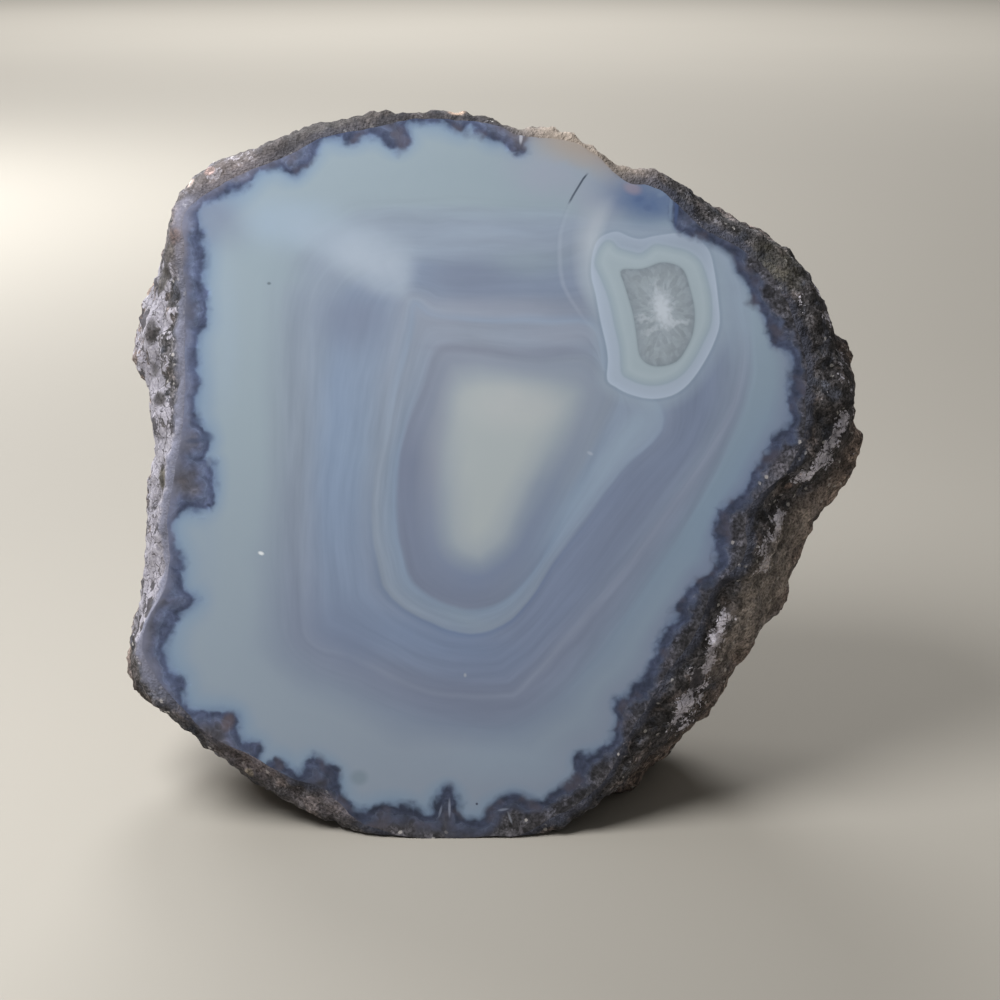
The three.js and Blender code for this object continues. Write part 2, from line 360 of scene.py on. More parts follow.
outer_rings = round(EDGE_ZONE / EDGE_ZONE_STEP) - 1
inner_rings = round((edge_radii.max() - EDGE_ZONE) / INNER_STEP)
inner_edge = (edge_radii - EDGE_ZONE)[::2]
inner_radii = np.arange(1, inner_rings + 1)[:, None] / inner_rings * inner_edge
outer_radii = edge_radii - EDGE_ZONE + np.arange(1, outer_rings + 1)[:, None] * EDGE_ZONE_STEP
out_2d = np.stack([np.cos(turns), np.sin(turns)], axis=1)
face_2d = np.concatenate([
    FACE_MIDDLE[None],
    (FACE_MIDDLE + inner_radii[..., None] * out_2d[::2]).reshape(-1, 2),
    (FACE_MIDDLE + outer_radii[..., None] * out_2d).reshape(-1, 2),
])
points = np.concatenate([
    in_row(np.column_stack([face_2d, np.zeros(len(face_2d))])),
    rind[:-1].reshape(-1, 3),
    rind[-1, :1],
])
outer_start = 1 + inner_rings * inner_columns
edge_start = len(face_2d)
last_ring_start = len(points) - 1 - COLUMNS
print(len(points), "points in the stone,", edge_start, "of them on the polish")

# %% Join the points into one closed skin


def ring_quads(start, rings, columns):
    """Four-sided faces between neighbouring rings of points that follow each other from start."""
    here = start + np.arange(rings - 1)[:, None] * columns + np.arange(columns)
    there = start + np.arange(rings - 1)[:, None] * columns + np.roll(np.arange(columns), -1)
    quads = np.stack([here, here + columns, there + columns, there], axis=-1)
    return quads.reshape(-1, 4)


inner_quads = ring_quads(1, inner_rings, inner_columns)
outer_quads = ring_quads(outer_start, outer_rings + 1, COLUMNS)
rind_quads = ring_quads(edge_start, ring_count, COLUMNS)

inner_once = np.arange(inner_columns)
inner_next = np.roll(inner_once, -1)
front_fan = np.stack([np.zeros(inner_columns, int), 1 + inner_once, 1 + inner_next], axis=1)
ring_in = outer_start - inner_columns
even, odd, even_next = (outer_start + k for k in (2 * inner_once, 2 * inner_once + 1, 2 * inner_next))
seam = np.concatenate([
    np.stack([ring_in + inner_once, even, odd], axis=1),
    np.stack([ring_in + inner_once, odd, ring_in + inner_next], axis=1),
    np.stack([ring_in + inner_next, odd, even_next], axis=1),
])
round_once = np.arange(COLUMNS)
back_fan = np.stack([
    np.full(COLUMNS, len(points) - 1),
    last_ring_start + np.roll(round_once, -1),
    last_ring_start + round_once,
], axis=1)

sheets = [inner_quads, outer_quads, front_fan, seam, rind_quads, back_fan]
stone_mesh = bpy.data.meshes.new("polished_agate")
stone_mesh.from_pydata((points * MM).tolist(), [], [side for sheet in sheets for side in sheet.tolist()])
stone = bpy.data.objects.new("polished_agate", stone_mesh)
bpy.context.scene.collection.objects.link(stone)
triangle_count = sum(len(sheet) * (sheet.shape[1] - 2) for sheet in sheets)
print("polished_agate:", triangle_count, "triangles")

# %% [markdown]
# ## Lines of growth
# Agate grows inward, coat after coat, so its bands are nested outlines. Each outline below was drawn in
# face millimetres, and between two of them the growth runs evenly from one number to the next.
# The material can then paint any band by its growth, however thin, with no picture on the stone.

# %% Draw the outlines
FRINGE_LINE = [
    (-36.4, 33.0), (-36.0, 35.4), (-33.8, 36.4), (-31.9, 36.8), (-30.4, 37.8), (-28.7, 39.4),
    (-26.1, 39.9), (-24.4, 38.9), (-22.8, 40.8), (-21.5, 43.2), (-19.8, 43.3), (-17.8, 43.0),
    (-15.6, 43.6), (-13.8, 43.2), (-12.2, 42.0), (-11.3, 42.8), (-10.8, 45.0), (-7.2, 45.2), (-5.1, 44.3),
    (-4.3, 44.2), (-3.5, 45.0), (-1.9, 43.9), (-0.9, 43.0), (0.7, 42.9), (1.8, 41.9), (2.8, 42.0),
    (3.6, 43.6), (7.2, 43.9), (10.8, 42.0), (13.4, 39.8), (16.2, 38.6), (20.4, 38.6), (21.1, 36.4),
    (21.2, 33.0), (24.0, 31.4), (26.6, 30.4), (28.2, 29.4), (28.6, 27.8), (29.8, 26.0), (31.0, 23.4),
    (32.3, 21.2), (33.3, 19.4), (34.8, 18.2), (35.4, 15.6), (35.2, 12), (34.8, 8.4), (33.6, 7.2),
    (31.8, 4.6), (30.6, 2.6), (30, 1.2), (27.6, -1.2), (26.4, -3.6), (26.6, -5.4), (25.8, -9), (24, -10),
    (22.8, -12), (21.6, -13.8), (19.4, -17.4), (19.2, -19.2), (16.8, -22.8), (14.4, -24.4), (14.6, -26.4),
    (13.8, -29.4), (12, -30.6), (9.4, -31.2), (9.9, -32.8), (9.0, -34.0), (7.8, -35.0), (6.6, -36.0),
    (5.4, -37), (3.6, -36.6), (1.8, -35.8), (0.6, -36.2), (-1, -37.2), (-1.8, -38.6), (-4.2, -39),
    (-5.2, -38.0), (-5.6, -35.6), (-6.3, -34.8), (-7.6, -36.3), (-8.4, -38.2), (-9.6, -37.8), (-12, -37),
    (-13.8, -37), (-16.2, -37.8), (-18, -37.4), (-19.4, -36), (-20, -33), (-22.4, -31.6), (-23.6, -33),
    (-24.6, -33.2), (-26.4, -31.9), (-27.4, -32.2), (-28.4, -33), (-29.3, -31.8), (-29.6, -29.8),
    (-31.5, -28.6), (-31.8, -26.0), (-34.4, -25.7), (-37.2, -25.4), (-38.2, -23.8), (-38.8, -21.6),
    (-39.6, -20.6), (-40.2, -18.6), (-40.0, -16.6), (-39.0, -14.2), (-36.6, -12), (-38.2, -10.8),
    (-38.4, -7.2), (-39.4, -4.8), (-39.4, -2.4), (-37.8, -1.2), (-35.4, -0.6), (-34.6, 0.6), (-34.6, 4.2),
    (-36, 5), (-35, 7.2), (-36.6, 9.6), (-36.6, 12), (-36.4, 14.4), (-36.4, 19.2), (-35.4, 21.6),
    (-35.6, 25.8), (-35.4, 27), (-35.4, 30), (-36, 31.8),
]
OUTER_BAND_LINE = [
    (-25.4, 24), (-25.6, 14.4), (-25.7, 6), (-26, -2.4), (-25.9, -9.6), (-25.8, -15), (-25, -17.4),
    (-22.8, -19.4), (-18, -21.8), (-12, -24.7), (-9, -25.6), (-3.6, -26.6), (1.2, -26.6), (5.4, -24.6),
    (9.6, -20.4), (14.4, -14.4), (19.2, -7.2), (24, 0), (27, 6), (29.4, 12), (30.2, 18), (29.0, 27.6),
    (24.6, 32.2), (18, 32.8), (12, 33.3), (7.2, 34.2), (0, 34.6), (-7.2, 34.8), (-14.4, 34.6), (-19.2, 33),
    (-23.4, 29.4),
]
PALE_LINE = [
    (-22.8, 12), (-23.3, 6), (-23.6, 0), (-23.8, -8.4), (-23.6, -15.6), (-21.6, -17.8), (-18.6, -18.6),
    (-12, -21.8), (-9.6, -22.8), (-6, -23.6), (0.6, -23.6), (1.8, -23.4), (3.8, -21.4), (7.2, -17.4),
    (12, -12), (16.8, -6), (22.8, 2.4), (25.8, 7.2), (28.2, 12), (29.2, 18), (28.2, 22.8), (27.2, 27.4),
    (24, 31.4), (18, 31.9), (12.6, 32.2), (9, 31.4), (6, 30.2), (0, 30), (-8.4, 30), (-14.4, 29.8),
    (-19.8, 27), (-22.2, 21.6),
]
INNER_LIGHT_LINE = [
    (-10.2, 23.4), (-10.4, 20.4), (-11.4, 16.8), (-12.4, 13.2), (-13.2, 8.4), (-14.4, 2.4), (-14.8, -2.4),
    (-14, -7.2), (-12.6, -11.4), (-7.2, -14.6), (-3.6, -15.6), (0, -14.6), (3, -12), (5.6, -7.8),
    (9.6, -2.4), (14.4, 3.6), (19.2, 8.4), (18, 12), (12.6, 13.8), (12, 18), (10.8, 21), (6, 21.4),
    (0, 21.4), (-4.8, 21.6), (-8.4, 22.1),
]
DARK_BAND_LINE = [
    (-7.6, 17.8), (-9, 13.8), (-10.6, 10.2), (-11.6, 6.6), (-12.1, 2.4), (-12.2, -2.4), (-11.5, -6.6),
    (-10.2, -9.8), (-7.2, -12), (-3.6, -13), (-0.6, -12.4), (1.8, -10.8), (4.8, -7.2), (7.2, -2.4),
    (10.2, 3), (12.6, 8.4), (14.4, 12.6), (12.6, 15.6), (10.2, 17.8), (4.8, 17.2), (0, 17.8), (-4.8, 18.6),
]
CREAM_CORE_LINE = [
    (-4.2, 13.4), (2.4, 13.7), (8.4, 13.2), (9, 12), (8.2, 9), (6.6, 5.4), (4.8, 1.2), (2.6, -2.6),
    (1.2, -5.4), (-1.2, -7.4), (-2.6, -8), (-4.8, -7.2), (-6.5, -5.4), (-7, -2.4), (-6.8, 1.2), (-6.2, 6),
    (-5.3, 9.8),
]
EYE_RING_LINE = [
    (10.9, 28.6), (11.3, 30.4), (12.1, 31.5), (13.9, 32.1), (15.4, 31.5), (16.8, 31.2), (18.6, 31.6),
    (21.5, 31.9), (23.4, 31.4), (25.0, 29.8), (25.7, 27.0), (26.1, 24.0), (26.3, 21.2), (25.7, 19.0),
    (24.4, 16.4), (22.6, 13.9), (20.6, 12.5), (18.0, 12.1), (15.4, 12.7), (13.7, 13.6), (12.8, 14.4),
    (12.9, 16.6), (12.7, 18.4), (12.0, 21.4), (11.4, 24.6), (10.9, 26.6),
]
EYE_CLEAR_LINE = [
    (11.3, 28.2), (11.7, 29.9), (12.6, 31.0), (13.5, 30.9), (14.1, 30.2), (15.3, 29.8), (16.7, 29.5),
    (17.6, 30.0), (18.6, 30.6), (20.9, 30.2), (22.6, 29.7), (24.0, 28.5), (24.8, 26.4), (25.3, 24.0),
    (25.3, 21.2), (24.5, 19.2), (23.2, 16.7), (21.6, 14.8), (19.4, 13.8), (17.2, 13.8), (15.2, 14.6),
    (14.5, 15.4), (14.3, 18.2), (13.7, 20.8), (13.0, 24.0), (12.0, 26.6),
]
QUARTZ_POCKET_LINE = [
    (14.4, 27.5), (16.6, 27.6), (17.8, 27.9), (19.2, 28.4), (20.8, 28.2), (22.0, 27.4), (22.7, 25.4),
    (23.3, 22.6), (23.1, 20.0), (22.3, 18.1), (21.2, 16.6), (19.4, 16.0), (17.8, 16.2), (16.7, 17.3),
    (16.3, 19.8), (15.9, 22.2), (15.2, 24.6), (14.8, 25.9),
]

# %% Round the outlines and measure distances to them
CURVE_STEPS = 3
PLACES_AT_ONCE = 4000


def rounded_outline(corners):
    """A closed smooth curve through given corners."""
    before, start, end, after = (np.roll(np.array(corners, float), k, axis=0) for k in (1, 0, -1, -2))
    steps = []
    for t in np.arange(CURVE_STEPS) / CURVE_STEPS:
        steps.append(0.5 * (
            2 * start + (end - before) * t
            + (2 * before - 5 * start + 4 * end - after) * t ** 2
            + (3 * start - before - 3 * end + after) * t ** 3
        ))
    return np.stack(steps, axis=1).reshape(-1, 2)


def inside_distance(places, outline):
    """Distance in mm from each place to a closed outline, above zero inside it."""
    start = outline
    side = np.roll(outline, -1, axis=0) - start
    result = []
    for part in np.array_split(places, max(1, len(places) // PLACES_AT_ONCE)):
        away = part[:, None] - start
        along = np.clip((away * side).sum(axis=2) / (side ** 2).sum(axis=1), 0, 1)
        gap = np.linalg.norm(away - along[..., None] * side, axis=2).min(axis=1)
        over = away[..., 1] >= 0
        crossed = over != (away[..., 1] - side[:, 1] >= 0)
        lean_of_side = away[..., 0] * side[:, 1] - away[..., 1] * side[:, 0]
        left_of = (lean_of_side < 0) == (side[:, 1] > 0)
        inside = (crossed & left_of).sum(axis=1) % 2 == 1
        result.append(np.where(inside, gap, -gap))
    return np.concatenate(result)


face_count = edge_start + COLUMNS
face_places = on_face(points[:face_count])[:, :2]
fringe_mm = inside_distance(face_places, rounded_outline(FRINGE_LINE))
print(f"fringe line: {fringe_mm.min():.1f} to {fringe_mm.max():.1f} mm inside it")

# %% Number the growth from the fringe to the core
GROWTH_LINES = [
    (0.0, FRINGE_LINE),
    (10.0, OUTER_BAND_LINE),
    (12.3, PALE_LINE),
    (21.0, INNER_LIGHT_LINE),
    (24.0, DARK_BAND_LINE),
    (29.5, CREAM_CORE_LINE),
]


def growth_between(places, lines):
    """Growth at each place, even between one outline and the next, and in mm beyond the last ones."""
    depths = [inside_distance(places, rounded_outline(corners)) for _, corners in lines]
    growth = np.where(depths[0] < 0, depths[0], lines[-1][0] + depths[-1])
    for k in range(len(lines) - 1):
        outer, inner = depths[k], -depths[k + 1]
        between = (outer >= 0) & (inner > 0)
        share = outer / np.maximum(outer + inner, 1e-6)
        growth = np.where(between, lines[k][0] + share * (lines[k + 1][0] - lines[k][0]), growth)
    return growth


growth_mm = growth_between(face_places, GROWTH_LINES)
eye_outlines = {"eye_ring": EYE_RING_LINE, "eye_clear": EYE_CLEAR_LINE, "eye_pocket": QUARTZ_POCKET_LINE}
eye_mm = {name: inside_distance(face_places, rounded_outline(line)) for name, line in eye_outlines.items()}
pocket_deep = eye_mm["eye_pocket"].max()
print(f"growth: {growth_mm.min():.1f} to {growth_mm.max():.1f}; pocket {pocket_deep:.1f} mm deep")

# %% [markdown]
# ## Sides and clouds
# Silica seeped in from different sides, so one band is milkier on the left and bluer on the right. Each
# point therefore knows how far it lies toward the top, the right and the bottom. On top of the bands come
# clouds: milky where tiny bubbles scatter the light, mauve where a trace of iron colours it, blue where
# it is clear and deep. A cloud is a soft oval: its middle, half length, half width, turn, and how much
# it covers.

# %% Share the face between its sides
CORE_MIDDLE = np.array([-1.0, 3.0])
SIDE_TURNS = [-190, -100, -10, 95, 170, 260]
SIDE_SHARES = {
    "toward_bottom": [0, 1, 0, 0, 0, 1],
    "toward_right": [0, 0, 1, 0, 0, 0],
    "toward_top": [0, 0, 0, 1, 0, 0],
}

from_core = face_places - CORE_MIDDLE
core_turns = np.degrees(np.arctan2(from_core[:, 1], from_core[:, 0]))
sides_of_face = {name: np.interp(core_turns, SIDE_TURNS, shares) for name, shares in SIDE_SHARES.items()}
toward_left = 1 - sum(sides_of_face.values())
top_share = sides_of_face["toward_top"] / np.maximum(sides_of_face["toward_top"] + toward_left, 1e-6)
right_share = sides_of_face["toward_right"] / np.maximum(1 - sides_of_face["toward_bottom"], 1e-6)
print("sides:", {name: round(float(share.mean()), 2) for name, share in sides_of_face.items()})

# %% Place the clouds
CLOUDS = {
    "green": [
        (3.6, 28.2, 4.5, 1.5, 0, 0.6), (-2.4, 39.6, 11.0, 2.4, 0, 0.5), (-7.0, -13.4, 5.0, 1.0, -20, 0.4),
        (-28.5, 27.5, 5.5, 2.6, -32, 0.7), (20.4, 29.0, 3.6, 1.0, 0, 0.3),
    ],
    "mauve": [
        (-17.4, 21.4, 3.9, 3.2, -10, 0.85), (-3.6, 26.4, 4.8, 2.4, -4, 0.75),
        (-9.6, -22.8, 11.0, 2.2, -12, 0.6), (1.2, -24.5, 6.0, 2.2, 5, 0.4),
        (-18.6, -16.4, 4.6, 3.0, -35, 0.8), (-34.6, 33.6, 3.8, 2.9, -20, 0.95),
        (15.6, -2.4, 8.0, 2.2, 52, 0.45), (-24.0, -15.0, 4.0, 6.0, 0, 0.35),
    ],
    "blue": [
        (-19.6, 5.0, 2.6, 12.0, 0, 0.5), (-7.2, -16.8, 7.0, 2.0, -12, 0.65),
        (6.8, -2.6, 8.0, 1.4, 58, 0.6), (-17.5, -15.0, 5.0, 3.4, -30, 0.3),
        (-35.0, 5.0, 1.3, 14.0, 0, 0.35), (29.5, 3.0, 2.0, 10.0, -28, 0.4),
    ],
    "deep": [
        (17.6, 36.3, 4.6, 2.8, -8, 1.0), (22.8, 34.4, 3.2, 1.8, -28, 0.7),
        (-18.0, -16.8, 3.6, 2.5, -30, 0.13),
    ],
    "haze": [
        (-25.4, 33.0, 4.6, 2.6, -6, 0.8), (28.2, 24.6, 2.6, 7.5, 12, 0.75), (16.4, 8.6, 5.6, 1.5, 47, 0.6),
        (10.6, 1.6, 7.0, 1.2, 53, 0.55), (16.8, 32.4, 6.5, 1.0, 2, 0.4), (-33.0, 20.0, 1.5, 8.0, 0, 0.4),
        (-19.0, 31.4, 6.0, 2.4, -24, 0.5), (0.0, -31.6, 8.0, 2.4, 0, 0.25),
    ],
    "lilac": [
        (12.2, 35.8, 3.0, 2.8, 0, 0.9), (5.8, 39.0, 4.4, 2.6, -10, 0.85), (0.0, 22.9, 8.0, 1.3, 0, 0.6),
        (7.2, 19.8, 4.5, 1.2, 0, 0.6), (-7.0, 20.6, 2.4, 2.4, 0, 0.4),
    ],
    "plum": [(5.6, 17.7, 4.8, 0.6, 3, 0.55), (-3.0, 18.0, 5.0, 0.4, -3, 0.4)],
    "milky": [
        (-14.6, 28.2, 5.8, 3.2, -34, 0.85), (-20.6, 31.0, 5.0, 2.0, -24, 0.3),
        (-3.0, 31.8, 7.0, 0.8, -7, 0.1),
    ],
    "cream": [(1.6, 11.2, 4.6, 2.6, 0, 0.9)],
    "lavender": [
        (-40.5, 14.0, 3.6, 16.0, 0, 0.9), (-42.0, -14.0, 4.5, 12.0, -12, 0.8),
        (-38.6, 34.6, 2.4, 3.0, 0, 0.9),
    ],
    "beige": [(8.8, 43.4, 7.0, 2.8, -24, 1.0), (14.2, 40.8, 2.0, 1.4, -30, 0.7)],
    "dusty": [
        (-32.4, 39.6, 6.5, 2.2, 24, 0.95), (-38.4, 31.0, 1.6, 3.2, 0, 0.6),
        (18.4, 40.2, 2.6, 1.4, -10, 0.8),
    ],
}
CLOUD_EDGES = {
    "milky": [
        (-8.6, 45), (-8.8, 30), (-9.8, 25.5), (-10.4, 23.2), (-13, 23.2), (-16.8, 24.2), (-19.8, 25.6),
        (-23.6, 28), (-60, 48),
    ],
    "green": [
        (-60, 40), (-38, 33), (-35.4, 31.2), (-33, 28.8), (-31.2, 27), (-28.8, 25.4), (-26.4, 24.8),
        (-24, 24.6), (-18, 23), (70, -30), (70, 60), (-60, 60),
    ],
}
EDGE_BLUR = 1.8
LEFT_FROM, LEFT_BLUR = 4.0, 4.0
OVAL_FALL, OVAL_FLATNESS = 0.7, 1.4


def clouded(places, clouds):
    """How much a set of soft ovals covers each place, from 0 to 1."""
    clear = np.ones(len(places))
    for across, up, long, wide, turn, strength in clouds:
        away = places - np.array([across, up])
        lie = math.radians(turn)
        along = (away @ np.array([math.cos(lie), math.sin(lie)])) / long
        beside = (away @ np.array([-math.sin(lie), math.cos(lie)])) / wide
        clear *= 1 - strength * np.exp(-OVAL_FALL * (along ** 2 + beside ** 2) ** OVAL_FLATNESS)
    return 1 - clear


cover = {name: clouded(face_places, clouds) for name, clouds in CLOUDS.items()}
for name, outline in CLOUD_EDGES.items():
    inside = np.clip(inside_distance(face_places, np.array(outline, float)) / EDGE_BLUR, 0, 1)
    left_side = np.clip((-face_places[:, 0] - LEFT_FROM) / LEFT_BLUR, 0, 1)
    cover[name] *= 1 - left_side * (1 - inside)
print({name: round(float(amount.max()), 2) for name, amount in cover.items()})

# %% [markdown]
# ## The crack and the veil
# A healed crack runs down from the rim near the quartz eye, and below it a veil hangs between a fine
# growth line and the eye. Each is given as points down the line, and every place gets its distance across
# from it. That distance is even, so the material can draw a line far thinner than the mesh.

# %% Trace the crack and the edge of the veil
LINES_DOWN = {
    "crack": [
        (10.7, 39.3), (9.9, 38.3), (9.3, 37.3), (8.8, 36.5), (8.1, 35.2), (7.4, 33.6), (6.9, 31.9),
        (6.7, 29.0),
    ],
    "veil_edge": [
        (9.3, 36.5), (8.4, 35.4), (7.7, 33.6), (7.2, 31.9), (7.1, 29.8), (7.2, 27.5), (7.5, 25.8),
        (8.4, 24.0), (9.8, 22.0), (11.3, 20.2), (12.2, 19.0),
    ],
}

across_line = {}
for name, line in LINES_DOWN.items():
    line = np.array(line)[::-1]
    across_line[name] = face_places[:, 0] - np.interp(face_places[:, 1], line[:, 1], line[:, 0])
print("lines down the face:", list(LINES_DOWN))

# %% [markdown]
# ## What lies on the rind
# Weathering leaves a chalky white skin on the outer ridge and down the left flank, and the flank behind it
# is brown. Where the chalk is drawn, it is given as lines on the rind as the camera sees them, and the
# material breaks it up. The lavender and beige of the rim run over onto the rind, since they are in the
# stone.

# %% Place the chalk
CHALK_LINES = {
    "left flank": (
        [
            (-41.4, 27), (-42.4, 22), (-42.4, 16), (-41.6, 9), (-40.6, 3), (-41.0, -4), (-42.4, -11),
            (-42.8, -15),
        ],
        3.3, 1.0,
    ),
    "left foot": ([(-42.8, -15), (-43.2, -19)], 1.6, 0.75),
    "right shoulder": ([(37.0, 27.6), (38.8, 24.6), (40.4, 20.4)], 0.9, 0.85),
    "right side": ([(40.6, 18), (41.8, 12)], 0.7, 0.6),
    "right knee": ([(42.0, 10.4), (39.8, 7.7), (39.0, 5.0), (37.4, 3.3), (35.3, 2.5)], 0.85, 0.9),
    "lower ridge": ([(33.5, -1.6), (32.4, -5), (31.6, -8.4)], 1.0, 0.85),
    "low ridge": ([(27.6, -13.4), (26.2, -16.4), (24.8, -19.6), (23.4, -23), (21.4, -26.8)], 1.1, 1.0),
    "top left": ([(-37.5, 36.4), (-34.5, 38.8), (-30.0, 41.0)], 1.3, 0.6),
}
FRONT_REACH, FRONT_FADE = 21.0, 15.0


def near_line(places, line, reach):
    """1 on a drawn line, falling to 0 a reach away."""
    nearest = np.full(len(places), 1e9)
    for start, end in zip(line, line[1:]):
        start = np.array(start)
        side = np.array(end) - start
        along = np.clip(((places - start) @ side) / (side @ side), 0, 1)
        nearest = np.minimum(nearest, np.linalg.norm(places - start - along[:, None] * side, axis=1))
    return np.exp(-OVAL_FALL * (nearest / reach) ** 2)


rind_points = points[face_count:]
rind_depth = on_face(rind_points)[:, 2]
seen_places = as_seen(rind_points)
in_front = np.clip((FRONT_REACH - rind_depth) / FRONT_FADE, 0, 1)
chalk = np.zeros(len(rind_points))
for line, reach, strength in CHALK_LINES.values():
    chalk = np.maximum(chalk, strength * near_line(seen_places, line, reach) * in_front)
rind_cover = {name: clouded(seen_places, CLOUDS[name]) * in_front for name in ("lavender", "beige", "dusty")}
print(f"chalk on {100 * (chalk > 0.3).mean():.0f} % of the rind")

# %% Give the mesh its numbers
inner_mm = (edge_radii[::2] - inner_radii).ravel()
outer_mm = (edge_radii - outer_radii).ravel()
edge_mm = np.concatenate([[mean_radius], inner_mm, outer_mm, np.zeros(COLUMNS)])
polish_run = np.repeat(np.arange(ring_count + 1) * FRONT_STEP, COLUMNS)[COLUMNS:-COLUMNS]
polish_run = np.append(polish_run, ring_count * FRONT_STEP)
rind_relief = np.append(relief[1:-1].ravel(), relief[-1, 0])


def store(name, face_values=None, rind_values=None):
    """Stores one number for every point: those on the face, those on the rind, or both."""
    values = np.zeros(len(points), np.float32)
    if face_values is not None:
        values[:face_count] = face_values
    if rind_values is not None:
        values[face_count:] = rind_values
    stone_mesh.attributes.new(name, "FLOAT", "POINT").data.foreach_set("value", values)


store("growth_mm", growth_mm)
store("fringe_mm", fringe_mm)
store("edge_mm", edge_mm)
store("top_share", top_share)
store("right_share", right_share)
store("bottom_share", sides_of_face["toward_bottom"])
for name, amount in cover.items():
    store(name, amount, rind_cover.get(name))
for name, distances in {**eye_mm, **across_line}.items():
    store(name, distances)
store("chalk", rind_values=chalk)
store("polish_run", rind_values=polish_run)
store("relief", rind_values=rind_relief)
face_spot = stone_mesh.attributes.new("face_spot", "FLOAT_VECTOR", "POINT")
face_spot.data.foreach_set("vector", on_face(points).astype(np.float32).ravel())
print(len(stone_mesh.attributes), "sets of numbers on the mesh")

# %% [markdown]
# ## Helpers for the materials
# Colours are written as the eye reads them, in sRGB hex, and turned to the linear values that the
# renderer needs. One small function adds a node, sets it and links it, and another one shades a colour,
# since nearly every grain in the stone is the ground colour made darker or lighter.

# %% Colour and node helpers


def linear(hex_colour):
    """An sRGB hex colour as linear red, green, blue and a full alpha."""
    parts = [int(hex_colour[k:k + 2], 16) / 255 for k in (1, 3, 5)]
    return tuple(p / 12.92 if p <= 0.04045 else ((p + 0.055) / 1.055) ** 2.4 for p in parts) + (1.0,)


trees = []


def new_material(name):
    """An empty node material. Nodes are added to the material that was made last."""
    material = bpy.data.materials.new(name)
    material.use_nodes = True
    material.node_tree.nodes.clear()
    trees.append(material.node_tree)
    return material


def add_node(kind, *inputs, stops=(), **named):
    """Adds a node of a kind. A second word says how it works, as in "Math ADD" or "MapRange SMOOTHSTEP".

    Inputs come in the order that the node shows them. Named values are properties or inputs, with _ for a
    space. A node or an output is linked, and a hex colour is made linear. Stops are places on a ramp.
    """
    kind, _, way = kind.partition(" ")
    node = trees[-1].nodes.new("ShaderNode" + kind)
    if way:
        setattr(node, "interpolation_type" if kind == "MapRange" else "operation", way)
    if kind == "Mix":
        node.data_type = "RGBA"
    for name in [name for name in named if hasattr(node, name)]:
        setattr(node, name, named.pop(name))
    shown = [socket for socket in node.inputs if socket.enabled]
    by_name = [(node.inputs[name.replace("_", " ")], value) for name, value in named.items()]
    for socket, value in [*zip(shown, inputs), *by_name]:
        if isinstance(value, bpy.types.Node):
            value = next(out for out in value.outputs if out.enabled)
        if isinstance(value, bpy.types.NodeSocket):
            trees[-1].links.new(value, socket)
        else:
            socket.default_value = linear(value) if isinstance(value, str) else value
    for k, (position, colour, *alpha) in enumerate(stops):
        stop = node.color_ramp.elements[k] if k < 2 else node.color_ramp.elements.new(1.0)
        stop.position = position
        stop.color = linear(colour)[:3] + (alpha[0] if alpha else 1.0,)
    return node


def shaded(colour, by, low, high, darkest, lightest):
    """A colour made darker and lighter by a number that runs from low to high."""
    value = add_node("MapRange", by, low, high, darkest, lightest)
    return add_node("HueSaturation", Color=colour, Value=value)


print("linear mid grey:", round(linear("#808080")[0], 3))

# %% [markdown]
# ## Polished agate
# Agate is chalcedony, a quartz too fine to see, with an index of 1.54. A felt lap with tin oxide gives
# it a glassy skin, so the roughness is low and the colour lies just under the surface. The colour is
# built in the order that the stone grew: bands, clouds, the quartz eye, and last the dark fringe.

# %% Name the tones of the bands
polished_agate = new_material("polished_agate")

TONES = {
    "haze": "#8499b0", "pale": "#96a5b0", "pale blue": "#879bb0", "slate": "#8c99ab", "blue": "#8798af",
    "mauve": "#8390a6", "deep mauve": "#7b859b", "plum grey": "#7e88a0", "sky": "#8f9fb6",
    "light line": "#94a1b3", "low line": "#8b96ac", "lilac": "#929cad", "smoke": "#8e97a8",
    "silver": "#a2acb6", "cream": "#aeb7bb", "ash": "#8995a5", "high sky": "#929fb1",
    "low pale": "#909cad", "bright blue": "#8c9db4", "navy line": "#6d7d9c", "dusk": "#7d8aa4",
}
SIDE_BANDS = {
    "left": [
        (0.5, "haze"), (2.6, "pale"), (6.6, "pale"), (10.6, "ash"), (11.8, "ash"), (12.3, "slate"),
        (12.7, "slate"), (15.0, "bright blue"), (18.2, "bright blue"), (20.4, "slate"),
        (20.9, "light line"), (21.2, "slate"), (23.4, "blue"), (24.1, "deep mauve"), (25.6, "deep mauve"),
        (28.0, "smoke"), (30.0, "silver"), (32.0, "cream"),
    ],
    "top": [
        (0.5, "haze"), (2.6, "pale"), (9.0, "pale"), (11.0, "high sky"), (12.2, "high sky"),
        (13.4, "slate"), (15.0, "mauve"), (17.5, "mauve"), (20.0, "lilac"), (20.9, "sky"),
        (21.4, "lilac"), (23.4, "lilac"), (24.2, "smoke"), (26.0, "lilac"), (28.5, "silver"),
        (30.0, "cream"), (32.0, "cream"),
    ],
    "right": [
        (0.5, "plum grey"), (2.0, "dusk"), (5.0, "pale blue"), (9.0, "pale blue"), (11.0, "mauve"),
        (12.2, "low line"), (13.0, "mauve"), (15.5, "dusk"), (20.5, "dusk"), (20.9, "sky"), (22.4, "sky"),
        (23.6, "blue"), (25.2, "slate"), (27.6, "mauve"), (30.0, "slate"), (31.5, "silver"),
        (33.5, "cream"),
    ],
    "bottom": [
        (0.5, "haze"), (2.0, "low pale"), (5.5, "low pale"), (9.0, "mauve"), (11.8, "plum grey"),
        (12.3, "low line"), (12.8, "plum grey"), (15.0, "dusk"), (19.6, "dusk"), (20.2, "navy line"),
        (20.5, "slate"), (23.4, "blue"), (24.0, "deep mauve"), (28.0, "dusk"), (29.6, "slate"),
        (31.0, "silver"), (33.5, "cream"),
    ],
}
WANDER_SIZE, WANDER_REACH = 8.0, 0.35
